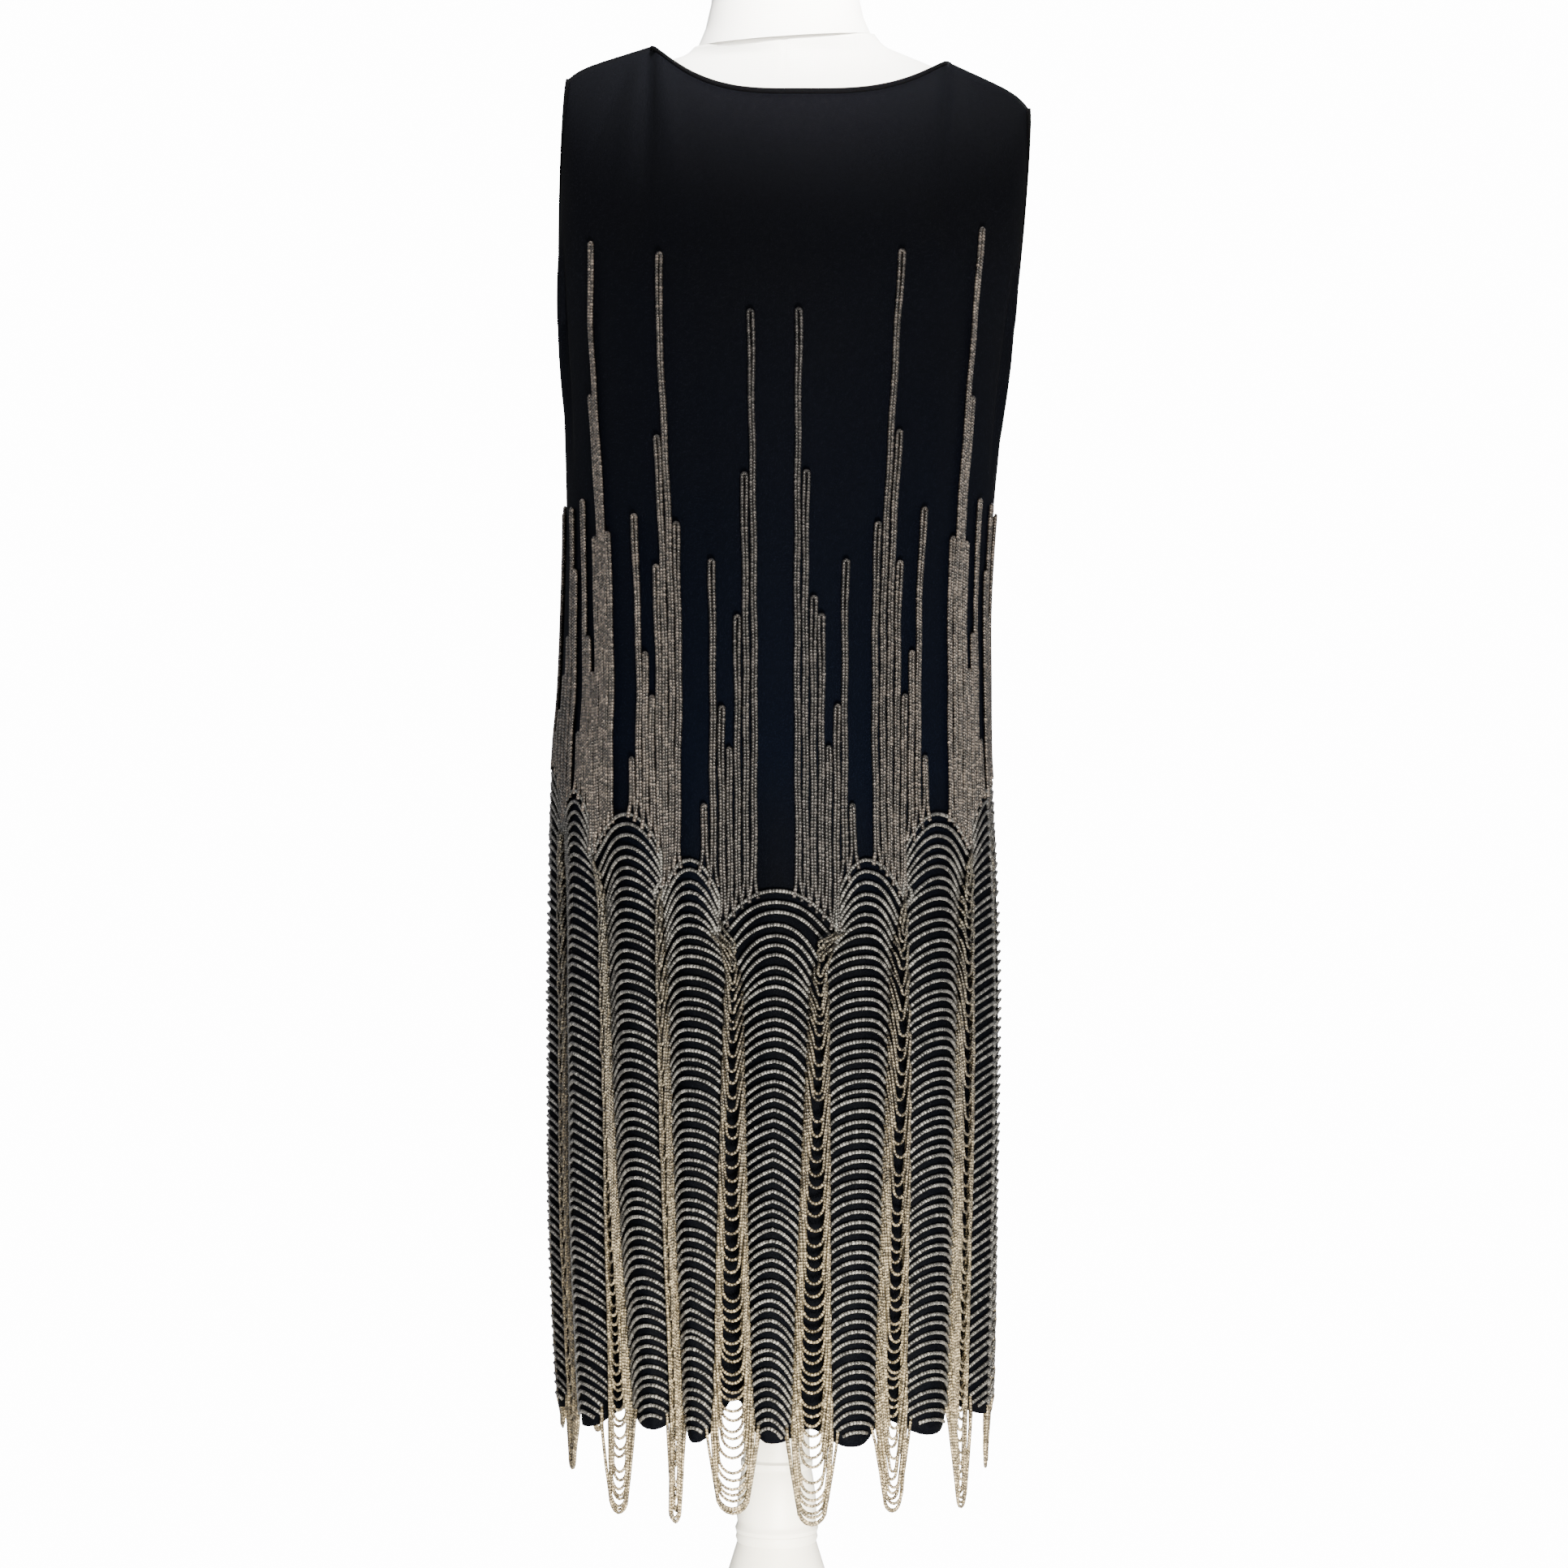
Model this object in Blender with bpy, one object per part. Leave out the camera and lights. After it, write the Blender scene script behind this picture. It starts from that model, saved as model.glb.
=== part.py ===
"""Beaded flapper dress on a limbless dress form with a turned stand.

Metres, +Z up. The wearer's front faces -Y and +X is to the right, seen from the front.
The floor is z = 0 and the origin is under the middle of the whole piece.

The dress is cut as a front and a back panel. Each panel hangs in nine flutes, and a
flute's number counts from the panel's centre line: 0 is the middle flute, whole numbers
are crests, halves are the hollows between them, and the side seams are at -4.5 and 4.5.
"""

import math
from collections import namedtuple

import bpy
from mathutils import Vector

# ---- sizes ----
AXIS_X = -0.0085             # the stand's axis, a little to the left of the whole piece's middle
CLOTH_WALL = 0.0015
SEAM_GAP = 0.0003
SKIN_GAP = 0.0005            # between the cloth and the beadwork that lies on it
COLUMN_GAP = 0.0009
COLUMN_START = 0.0030        # columns end this far above the rows' upper edge
COLUMN_THICKNESS = 0.0028    # beads sewn down in upright columns
ROW_THICKNESS = 0.0030       # beads sewn down in arched rows
SWAG_THICKNESS = 0.0034      # strings that hang as loops
SWAG_GAP = 0.0010
SEWN_SWAG_WIDTH = 0.017      # a swag's width where the cloth is behind it
BINDING_GAP = 0.0008
BINDING_WIDTH = 0.0055
BINDING_THICKNESS = 0.0011

LINES_PER_FLUTE = 6
LAST_FLUTE = 4
SEAM_FLUTE = 4.5
FLUTE_TOP = 0.88             # the flutes fade out above this height
FLUTE_FULL = 0.62
FLUTE_DEPTH = 0.0058         # crest or hollow, from the mean surface
HEM_FLUTE_DEPTH = 0.0072
HEM_HEIGHT = 0.325

UNDERARM = 1.150
YOKE_LEVELS = (0.34, 0.58, 0.80, 1.0)    # shares of the way from the underarm to the top edge
PANEL_LEVELS = (0.45, 0.56, 0.65)        # rows of the panel under the beaded rows' upper edge
BODICE_LEVELS = (0.87, 0.94, 1.03)
CHEST_POWER = 2.4            # how late the chest curves in to the shoulder
ARMHOLE_FORWARD = 0.045      # how far each panel's armhole edge stands off the side
NECK_LOW_X = 0.017           # the neckline's lowest point, from the axis
NECK_POWER = 3.0
SHOULDER_STRAIGHT = 0.78     # share of the shoulder's fall that is straight; the rest turns down at its end
SHOULDER_TURN_POWER = 8
BOW_POWERS = (1.3, 0.6)      # how the armhole's stand-off rises and falls, in mid panel and at its edge
SCALLOP_POWER = 1.4
ARCH_POWER = 2.2
VALLEY_DROP = 0.030          # beaded rows start this much lower in the hollows

ROUND_SEGMENTS = 32

# How far the mean cloth surface stands from the axis, at each height.
Section = namedtuple("Section", "height left right front back")
CLOTH_SECTIONS = (
    Section(0.325, 0.1590, 0.1560, 0.140, 0.141),
    Section(0.474, 0.1665, 0.1600, 0.145, 0.146),
    Section(0.600, 0.1680, 0.1630, 0.147, 0.148),
    Section(0.720, 0.1690, 0.1635, 0.148, 0.150),
    Section(0.784, 0.1695, 0.1620, 0.147, 0.150),
    Section(0.834, 0.1680, 0.1610, 0.144, 0.148),
    Section(0.877, 0.1645, 0.1610, 0.140, 0.144),
    Section(0.940, 0.1620, 0.1610, 0.135, 0.136),
    Section(1.000, 0.1605, 0.1645, 0.131, 0.127),
    Section(1.060, 0.1615, 0.1700, 0.129, 0.119),
    Section(1.150, 0.1645, 0.1790, 0.128, 0.112),
)

# Angle of each crest from its panel's centre line, in degrees, at three heights.
Crest = namedtuple("Crest", "flute bust hip hem rows_top hem_height")
BUST_HEIGHT = 1.20
HIP_HEIGHT = 0.76
FRONT_CRESTS = (
    Crest(-4, -84.0, -83.0, -84.0, 0.822, 0.332),
    Crest(-3, -70.0, -60.0, -59.0, 0.800, 0.328),
    Crest(-2, -48.0, -39.0, -33.0, 0.783, 0.334),
    Crest(-1, -24.5, -21.0, -21.0, 0.750, 0.327),
    Crest(0, -0.5, 0.0, -1.3, 0.728, 0.328),
    Crest(1, 23.5, 22.5, 20.0, 0.750, 0.324),
    Crest(2, 47.5, 45.0, 44.5, 0.783, 0.327),
    Crest(3, 69.0, 74.0, 76.0, 0.800, 0.331),
    Crest(4, 84.5, 85.5, 86.5, 0.815, 0.333),
)

# The hollows between crests: hem height, the lowest loop of the swag there and its width.
Swag = namedtuple("Swag", "flute hem_height bottom width")
FRONT_SWAGS = (
    Swag(-3.5, 0.345, 0.289, 0.022),
    Swag(-2.5, 0.344, 0.268, 0.032),
    Swag(-1.5, 0.342, 0.266, 0.014),
    Swag(-0.5, 0.358, 0.276, 0.040),
    Swag(0.5, 0.336, 0.268, 0.038),
    Swag(1.5, 0.339, 0.273, 0.024),
    Swag(2.5, 0.342, 0.268, 0.022),
    Swag(3.5, 0.344, 0.287, 0.022),
)
SIDE_SWAG = Swag(4.5, 0.345, 0.284, 0.024)

# Half widths of a swag down its length, as shares of its own width: sewn part, then loose part.
SwagRow = namedtuple("SwagRow", "height share")
SWAG_TOP_DROP = 0.012        # a swag starts this far below the rows' upper edge
SEWN_SWAG_ROWS = (
    SwagRow(0.560, 1.0),
    SwagRow(0.450, 1.0),
    SwagRow(0.326, 1.0),
)
LOOSE_SWAG_TOP = 0.304
LOOSE_SWAG_ROWS = (          # heights as shares of the way from the swag's foot to its loose top
    SwagRow(1.00, 1.0),
    SwagRow(0.50, 0.9),
    SwagRow(0.15, 0.65),
    SwagRow(0.00, 0.3),
)

# Tops of the upright bead columns, in four strips from the panel's middle outwards.
Columns = namedtuple("Columns", "flute inner second third outer")
FRONT_COLUMNS = (
    Columns(0.5, 1.146, 0.940, 0.870, 0.966),
    Columns(1.5, 1.190, 1.060, 0.900, 1.006),
    Columns(2.5, 1.205, 1.090, 0.918, 1.016),
    Columns(3.5, 1.016, 0.965, 0.900, 0.960),
)
SIDE_COLUMN_TOPS = (1.010, 0.935)        # the two strips before each side seam

# Upper edge of the dress: the neck points and shoulder ends, from the axis.
Shoulder = namedtuple("Shoulder", "neck_flute neck_x neck_height end_x end_height")
LEFT_SHOULDER = Shoulder(-1.5, -0.0955, 1.369, -0.1600, 1.343)
RIGHT_SHOULDER = Shoulder(10 / 6, 0.1310, 1.357, 0.1930, 1.3205)
FRONT_NECK_HEIGHT = 1.324
BACK_NECK_HEIGHT = 1.334
NECK_DEPTH = 0.062

# The dress form's torso, about its own axis; power 2 is an ellipse, less is more pointed.
FORM_X = AXIS_X + 0.006
FormRow = namedtuple("FormRow", "height half_width front back power")
FORM_ROWS = (
    FormRow(0.7050, 0.128, 0.108, 0.108, 2.0),
    FormRow(0.7200, 0.142, 0.120, 0.122, 2.0),
    FormRow(0.7600, 0.148, 0.126, 0.130, 2.0),
    FormRow(0.8200, 0.148, 0.124, 0.130, 2.0),
    FormRow(0.8800, 0.142, 0.116, 0.121, 2.0),
    FormRow(0.9600, 0.128, 0.100, 0.100, 2.0),
    FormRow(1.0200, 0.126, 0.096, 0.092, 2.0),
    FormRow(1.0900, 0.136, 0.106, 0.094, 2.0),
    FormRow(1.1500, 0.146, 0.116, 0.098, 2.0),
    FormRow(1.2000, 0.151, 0.112, 0.098, 2.0),
    FormRow(1.2500, 0.153, 0.097, 0.094, 2.0),
    FormRow(1.2900, 0.153, 0.078, 0.076, 2.0),
    FormRow(1.3180, 0.150, 0.060, 0.057, 1.9),
    FormRow(1.3380, 0.140, 0.052, 0.049, 1.5),
    FormRow(1.3510, 0.118, 0.049, 0.046, 1.25),
    FormRow(1.3590, 0.094, 0.048, 0.045, 1.3),
    FormRow(1.3650, 0.077, 0.048, 0.046, 1.6),
    FormRow(1.3730, 0.069, 0.049, 0.047, 1.9),
)
NECK_TILT = 0.070            # the neck's lower seam rises to the right, metres per metre
NECK_LEAN = 0.14             # and to the back
NECK_TILT_FROM = 1.352
NECK_TILT_OVER = 0.020
NECK_LEAN_TOP = 1.420        # the lean fades out below this
NECK_LEAN_FADE = 0.040
NECK_OVAL = 0.80             # depth over width of the neck

Ring = namedtuple("Ring", "radius height")
NECK_PROFILE = (
    Ring(0.0660, 1.3733),
    Ring(0.0605, 1.3860),
    Ring(0.0560, 1.4050),
    Ring(0.0545, 1.4300),
    Ring(0.0540, 1.4550),
)
NECK_CAP_PROFILE = (
    Ring(0.0560, 1.4553),
    Ring(0.0570, 1.4590),
    Ring(0.0560, 1.4630),
    Ring(0.0400, 1.4710),
    Ring(0.0200, 1.4745),
)
POST_PROFILE = (
    Ring(0.0240, 0.2343),
    Ring(0.0310, 0.2343),
    Ring(0.0318, 0.2375),
    Ring(0.0306, 0.2405),
    Ring(0.0300, 0.2420),
    Ring(0.0306, 0.2460),
    Ring(0.0300, 0.2600),
    Ring(0.0282, 0.2740),
    Ring(0.0268, 0.2815),
    Ring(0.0262, 0.2830),
    Ring(0.0275, 0.2850),
    Ring(0.0275, 0.2890),
    Ring(0.0255, 0.2910),
    Ring(0.0250, 0.3100),
    Ring(0.0235, 0.6600),
    Ring(0.0300, 0.6760),
    Ring(0.0420, 0.6900),
    Ring(0.0420, 0.7047),
)
FOOT_PROFILE = (
    Ring(0.1700, 0.0000),
    Ring(0.1700, 0.0150),
    Ring(0.1650, 0.0220),
    Ring(0.1450, 0.0290),
    Ring(0.1100, 0.0430),
    Ring(0.0800, 0.0680),
    Ring(0.0600, 0.1050),
    Ring(0.0460, 0.1550),
    Ring(0.0370, 0.2050),
    Ring(0.0302, 0.2270),
    Ring(0.0314, 0.2305),
    Ring(0.0306, 0.2340),
)


# ---- helpers ----
def clear_scene():
    for thing in list(bpy.data.objects):
        bpy.data.objects.remove(thing, do_unlink=True)


def make_material(name, colour, roughness):
    material = bpy.data.materials.new(name)
    material.use_nodes = True
    shader = material.node_tree.nodes["Principled BSDF"]
    shader.inputs["Base Color"].default_value = (*colour, 1.0)
    shader.inputs["Roughness"].default_value = roughness
    return material


def add_object(name, corners, faces, material):
    mesh = bpy.data.meshes.new(name)
    mesh.from_pydata([tuple(corner) for corner in corners], [], faces)
    mesh.update()
    mesh.materials.append(material)
    thing = bpy.data.objects.new(name, mesh)
    bpy.context.collection.objects.link(thing)
    return thing


def mix(low, high, share):
    return low + (high - low) * share


def ease(share):
    share = min(max(share, 0.0), 1.0)
    return share * share * (3.0 - 2.0 * share)


def smooth_table(rows, at):
    """Read a table whose first column is a rising position, on a smooth curve through its rows."""
    if at <= rows[0][0]:
        return rows[0][1:]
    if at >= rows[-1][0]:
        return rows[-1][1:]
    index = max(i for i in range(len(rows) - 1) if rows[i][0] <= at)
    low, high = rows[index], rows[index + 1]
    before, after = rows[max(index - 1, 0)], rows[min(index + 2, len(rows) - 1)]
    span = high[0] - low[0]
    share = (at - low[0]) / span
    values = []
    for column in range(1, len(low)):
        low_slope = (high[column] - before[column]) / (high[0] - before[0])
        high_slope = (after[column] - low[column]) / (after[0] - low[0])
        values.append(
            low[column] * (1 + 2 * share) * (1 - share) ** 2
            + high[column] * share * share * (3 - 2 * share)
            + span * low_slope * share * (1 - share) ** 2
            - span * high_slope * share * share * (1 - share)
        )
    return values


# ---- the shape of the worn cloth ----
def crest_value(flute, column):
    """A column of the crest table at any flute number, on straight lines between crests."""
    left, right = FRONT_CRESTS[0], FRONT_CRESTS[-1]
    left_seam = Crest(-SEAM_FLUTE, -90.0, -90.0, -90.0, left.rows_top, SIDE_SWAG.hem_height)
    right_seam = Crest(SEAM_FLUTE, 90.0, 90.0, 90.0, right.rows_top, SIDE_SWAG.hem_height)
    rows = (left_seam, *FRONT_CRESTS, right_seam)
    flute = min(max(flute, -SEAM_FLUTE), SEAM_FLUTE)
    for low, high in zip(rows, rows[1:]):
        if low.flute <= flute <= high.flute:
            share = (flute - low.flute) / (high.flute - low.flute)
            return mix(getattr(low, column), getattr(high, column), share)
    return getattr(rows[-1], column)


def panel_angle(side, flute, height):
    """Angle round the figure, in degrees: 0 at the centre front, 90 at the right side seam."""
    if side == "back":
        return 180.0 + panel_angle("front", -flute, height)
    hem, hip, bust = (crest_value(flute, column) for column in ("hem", "hip", "bust"))
    if height < HIP_HEIGHT:
        return mix(hem, hip, ease((height - HEM_HEIGHT) / (HIP_HEIGHT - HEM_HEIGHT)))
    return mix(hip, bust, ease((height - HIP_HEIGHT) / (BUST_HEIGHT - HIP_HEIGHT)))


def crest_pitch(side, flute, height):
    """Degrees between the crests beside a hollow; at a side seam, twice the way to the nearer one."""
    if abs(flute) < SEAM_FLUTE:
        return abs(panel_angle(side, flute + 0.5, height) - panel_angle(side, flute - 0.5, height))
    return 2 * min(90 - abs(panel_angle("front", last, height)) for last in (-LAST_FLUTE, LAST_FLUTE))


def around(angle, height, out=0.0):
    """A point of the mean cloth surface, moved out from the axis."""
    left, right, front, back = smooth_table(CLOTH_SECTIONS, height)
    turn = math.radians(angle)
    reach_x = right if math.sin(turn) > 0 else left
    reach_y = front if math.cos(turn) > 0 else back
    return Vector((
        AXIS_X + (reach_x + out) * math.sin(turn),
        -(reach_y + out) * math.cos(turn),
        height,
    ))


def flute_swell(flute, height):
    depth = mix(HEM_FLUTE_DEPTH, FLUTE_DEPTH, ease((height - HEM_HEIGHT) / (FLUTE_FULL - HEM_HEIGHT)))
    fade = ease((FLUTE_TOP - height) / (FLUTE_TOP - FLUTE_FULL))
    return depth * fade * math.cos(2 * math.pi * flute)


def keep_to_side(side, point):
    """Hold a panel just short of the plane where the side and shoulder seams meet."""
    limit = SEAM_GAP / 2
    point.y = min(point.y, -limit) if side == "front" else max(point.y, limit)
    return point


def top_edge(side, flute):
    """The panel's upper edge: the shoulder seam beside the neck, the neckline between."""
    turn = math.radians(crest_value(flute if side == "front" else -flute, "bust"))
    share = math.sin(turn) if side == "front" else -math.sin(turn)
    shoulder = RIGHT_SHOULDER if share > 0 else LEFT_SHOULDER
    neck_turn = math.radians(crest_value(shoulder.neck_flute, "bust"))
    neck_share = abs(math.sin(neck_turn))
    share = abs(share)
    if share > neck_share:
        along = (share - neck_share) / (1 - neck_share)
        fall = mix(along ** SHOULDER_TURN_POWER, along, SHOULDER_STRAIGHT)
        x = mix(shoulder.neck_x, shoulder.end_x, along)
        height = mix(shoulder.neck_height, shoulder.end_height, fall)
        return keep_to_side(side, Vector((AXIS_X + x, 0.0, height)))
    x = shoulder.neck_x * share / neck_share
    along = min(abs((x - NECK_LOW_X) / (shoulder.neck_x - NECK_LOW_X)), 1.0)
    lowest = FRONT_NECK_HEIGHT if side == "front" else BACK_NECK_HEIGHT
    height = mix(lowest, shoulder.neck_height, along ** NECK_POWER)
    depth = NECK_DEPTH * math.sqrt(1 - along * along)
    return keep_to_side(side, Vector((AXIS_X + x, -depth if side == "front" else depth, height)))


def yoke_point(side, flute, share):
    """Between the underarm line and the upper edge."""
    low = around(panel_angle(side, flute, UNDERARM), UNDERARM)
    high = top_edge(side, flute)
    reach = abs(math.sin(math.radians(panel_angle(side, flute, UNDERARM))))
    bow = max(math.sin(math.pi * share), 0.0) ** mix(*BOW_POWERS, reach ** 8)
    stand_off = ARMHOLE_FORWARD * bow * reach ** 4
    forward = -1 if side == "front" else 1
    return keep_to_side(side, Vector((
        mix(low.x, high.x, share),
        mix(low.y, high.y, share ** CHEST_POWER) + forward * stand_off,
        mix(low.z, high.z, share),
    )))


def cloth_point(side, flute, height):
    """The outer face of the cloth at any height up to the panel's upper edge."""
    if height <= UNDERARM:
        angle = panel_angle(side, flute, height)
        return keep_to_side(side, around(angle, height, flute_swell(flute, height)))
    top = top_edge(side, flute).z
    return yoke_point(side, flute, min((height - UNDERARM) / (top - UNDERARM), 1.0))


def cloth_normal(side, flute, height):
    """The way out of the cloth; flat at the side seams so that the panels stay apart."""
    step = 0.02
    rise = 0.004
    top = top_edge(side, flute).z
    over = min(height + rise, top)
    across = cloth_point(side, min(flute + step, SEAM_FLUTE), height) - cloth_point(
        side, max(flute - step, -SEAM_FLUTE), height
    )
    up = cloth_point(side, flute, over) - cloth_point(side, flute, over - 2 * rise)
    normal = across.cross(up) if side == "front" else up.cross(across)
    at_seam = abs(flute) >= SEAM_FLUTE - 0.001 and height <= UNDERARM + 0.001
    on_shoulder = abs(top_edge(side, flute).y) < SEAM_GAP and height > top - 0.001
    if at_seam:
        normal = Vector((math.copysign(1.0, flute), 0.0, 0.0))
    if on_shoulder:
        normal = Vector((0.15 * math.copysign(1.0, flute), 0.0, 1.0))
    return normal.normalized()


# ---- the panels as grids of lines and rows ----
def panel_flutes():
    count = round(2 * SEAM_FLUTE * LINES_PER_FLUTE)
    return [i / LINES_PER_FLUTE - SEAM_FLUTE for i in range(count + 1)]


def hollow_share(flute):
    """0 on a crest, 1 in a hollow."""
    return 0.5 - 0.5 * math.cos(2 * math.pi * flute)


def nearest_swag(flute):
    if abs(flute) > LAST_FLUTE:
        return SIDE_SWAG
    return min(FRONT_SWAGS, key=lambda swag: abs(swag.flute - flute))


def hem_height(side, flute):
    """Scallops: low on the crests, rounded up at their flanks and high in the hollows."""
    if side == "back":
        flute = -flute
    crest = crest_value(min(max(round(flute), -LAST_FLUTE), LAST_FLUTE), "hem_height")
    share = hollow_share(flute)
    return mix(crest, nearest_swag(flute).hem_height, share ** SCALLOP_POWER)


def rows_top(side, flute):
    """Upper edge of the beaded rows: one arch over each flute, with V hollows between."""
    if side == "back":
        flute = -flute
    low_crest = math.floor(flute)
    crests = [min(max(low_crest + i, -LAST_FLUTE), LAST_FLUTE) for i in (0, 1)]
    near = crest_value(crests[0] if flute - low_crest < 0.5 else crests[1], "rows_top")
    valley = min(crest_value(crest, "rows_top") for crest in crests) - VALLEY_DROP
    off = abs(flute - round(flute)) * 2
    return mix(near, valley, off ** ARCH_POWER)


def panel_heights(side, flute):
    top = top_edge(side, flute).z
    return [
        hem_height(side, flute),
        *PANEL_LEVELS,
        rows_top(side, flute),
        mix(rows_top(side, flute), BODICE_LEVELS[0], 0.5),
        *BODICE_LEVELS,
        UNDERARM,
        *(mix(UNDERARM, top, share) for share in YOKE_LEVELS),
    ]


class Line:
    """One upright line of a panel, which the panel and all that lies on it share."""

    def __init__(self, side, flute):
        self.heights = panel_heights(side, flute)
        self.points = [cloth_point(side, flute, height) for height in self.heights]
        self.normals = [cloth_normal(side, flute, height) for height in self.heights]

    def moved_out(self, height, distance):
        """A point on the line's straight stretches, moved out along the normal."""
        height = min(max(height, self.points[0].z), self.points[-1].z)
        for i in range(len(self.points) - 1):
            low, high = self.points[i].z, self.points[i + 1].z
            if low <= height <= high:
                share = (height - low) / (high - low)
                normal = self.normals[i].lerp(self.normals[i + 1], share).normalized()
                return self.points[i].lerp(self.points[i + 1], share) + normal * distance
        return self.points[-1] + self.normals[-1] * distance


def wall_mesh(outer, inner, used, outward):
    """A closed wall between two grids, outer[row][line], over the cells used[row][line]."""
    rows, lines = len(outer), len(outer[0])
    corners, index = [], {}

    def corner(layer, row, line):
        key = (layer, row, line)
        if key not in index:
            index[key] = len(corners)
            corners.append((outer if layer else inner)[row][line])
        return index[key]

    faces = []
    for row in range(rows - 1):
        for line in range(lines - 1):
            if not used[row][line]:
                continue
            ring = [(row, line), (row, line + 1), (row + 1, line + 1), (row + 1, line)]
            for half in (ring[:3], [ring[0], *ring[2:]]):
                faces.append([corner(1, *place) for place in half])
                faces.append([corner(0, *place) for place in reversed(half)])
            beside = ((row - 1, line), (row, line + 1), (row + 1, line), (row, line - 1))
            for i, (other_row, other_line) in enumerate(beside):
                inside = 0 <= other_row < rows - 1 and 0 <= other_line < lines - 1
                if inside and used[other_row][other_line]:
                    continue
                start, end = ring[i], ring[(i + 1) % 4]
                faces.append([corner(1, *end), corner(1, *start), corner(0, *start), corner(0, *end)])
    if not outward:
        faces = [list(reversed(face)) for face in faces]
    return corners, faces


def add_wall(name, outer, inner, material, outward, used=None):
    if used is None:
        used = [[True] * (len(outer[0]) - 1) for _ in range(len(outer) - 1)]
    corners, faces = wall_mesh(outer, inner, used, outward)
    return add_object(name, corners, faces, material)


def add_panel(side, lines, material):
    rows = range(len(lines[0].points))
    outer = [[line.points[row] for line in lines] for row in rows]
    inner = [[line.points[row] - line.normals[row] * CLOTH_WALL for line in lines] for row in rows]
    add_wall(f"{side}_panel", outer, inner, material, side == "front")


def add_bead_rows(side, lines, material):
    """The arched rows as one skin, from the hem up to the arches' upper edge."""
    rows = range(len(PANEL_LEVELS) + 2)
    low, high = SKIN_GAP, SKIN_GAP + ROW_THICKNESS
    outer = [[line.points[row] + line.normals[row] * high for line in lines] for row in rows]
    inner = [[line.points[row] + line.normals[row] * low for line in lines] for row in rows]
    add_wall(f"{side}_bead_rows", outer, inner, material, side == "front")


def add_columns(side, name, lines, tops, material):
    """Upright bead columns with stepped tops, from the rows' upper edge to each strip's top."""
    edge_row = len(PANEL_LEVELS) + 1
    lower_rows = (
        [line.heights[edge_row] + COLUMN_START for line in lines],
        [line.heights[edge_row + 1] for line in lines],
    )
    levels = sorted({*tops, *(height for height in (*BODICE_LEVELS, UNDERARM) if height < max(tops))})
    low, high = COLUMN_GAP, COLUMN_GAP + COLUMN_THICKNESS
    outer, inner = [], []
    for heights in (*lower_rows, *([level] * len(lines) for level in levels)):
        outer.append([line.moved_out(height, high) for line, height in zip(lines, heights)])
        inner.append([line.moved_out(height, low) for line, height in zip(lines, heights)])
    used = [[level <= top for top in tops] for level in (0.0, *levels)]
    add_wall(name, outer, inner, material, side == "front", used)


def add_neck_binding(side, flutes, lines, material):
    between = [
        line
        for flute, line in zip(flutes, lines)
        if LEFT_SHOULDER.neck_flute - 0.01 <= flute <= RIGHT_SHOULDER.neck_flute + 0.01
    ]
    low, high = BINDING_GAP, BINDING_GAP + BINDING_THICKNESS
    heights = [[line.points[-1].z - BINDING_WIDTH, line.points[-1].z] for line in between]
    outer, inner = [], []
    for row in range(2):
        outer.append([line.moved_out(height[row], high) for line, height in zip(between, heights)])
        inner.append([line.moved_out(height[row], low) for line, height in zip(between, heights)])
    add_wall(f"neck_binding_{side}", outer, inner, material, side == "front")


def add_armhole_binding(side, name, edge, beside, material):
    """A strip along a panel's armhole edge, over the outside of the cloth."""
    low, high = BINDING_GAP, BINDING_GAP + BINDING_THICKNESS
    first = len(PANEL_LEVELS) + len(BODICE_LEVELS) + 3
    outer, inner = [], []
    for row in range(first, len(edge.points)):
        across = beside.points[row] - edge.points[row]
        share = min(BINDING_WIDTH / across.length, 0.9)
        normal = edge.normals[row].lerp(beside.normals[row], share).normalized()
        within = edge.points[row].lerp(beside.points[row], share)
        outer.append([edge.points[row] + edge.normals[row] * high, within + normal * high])
        inner.append([edge.points[row] + edge.normals[row] * low, within + normal * low])
    on_right = edge.points[-1].x > AXIS_X
    add_wall(name, outer, inner, material, (side == "front") != on_right)


def add_swag(name, side, swag, material):
    """A plain strip for the nested loops that hang in a hollow, round at its foot."""
    flute = swag.flute if side == "front" else -swag.flute
    top = rows_top(side, flute) - SWAG_TOP_DROP
    half = swag.width / 2
    sewn_half = min(half, SEWN_SWAG_WIDTH / 2)
    profile = (
        (top, sewn_half * 0.6),
        (top - 0.05, sewn_half),
        *((row.height, sewn_half * row.share) for row in SEWN_SWAG_ROWS),
        *((mix(swag.bottom, LOOSE_SWAG_TOP, row.height), half * row.share) for row in LOOSE_SWAG_ROWS),
    )
    outer, inner = [], []
    for height, half_width in profile:
        backed_height = max(height, HEM_HEIGHT)
        angle = panel_angle(side, flute, backed_height)
        hanging_radius = (around(angle, height).xy - Vector((AXIS_X, 0.0))).length
        spread = math.degrees(half_width / hanging_radius)
        pitch = hanging_radius * math.radians(crest_pitch(side, flute, backed_height))
        share = min(max(sewn_half / pitch, 1 / LINES_PER_FLUTE), 0.3)
        swell = flute_swell(flute + share, backed_height)
        slope = 2 * math.pi * flute_swell(0.0, backed_height) * math.sin(2 * math.pi * share) / pitch
        offset = swell + (SKIN_GAP + ROW_THICKNESS) * math.hypot(1.0, slope) + SWAG_GAP
        turns = [angle - spread, angle, angle + spread]
        outer.append([around(turn, height, offset + SWAG_THICKNESS) for turn in turns])
        inner.append([around(turn, height, offset) for turn in turns])
    add_wall(name, outer, inner, material, False)


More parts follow.
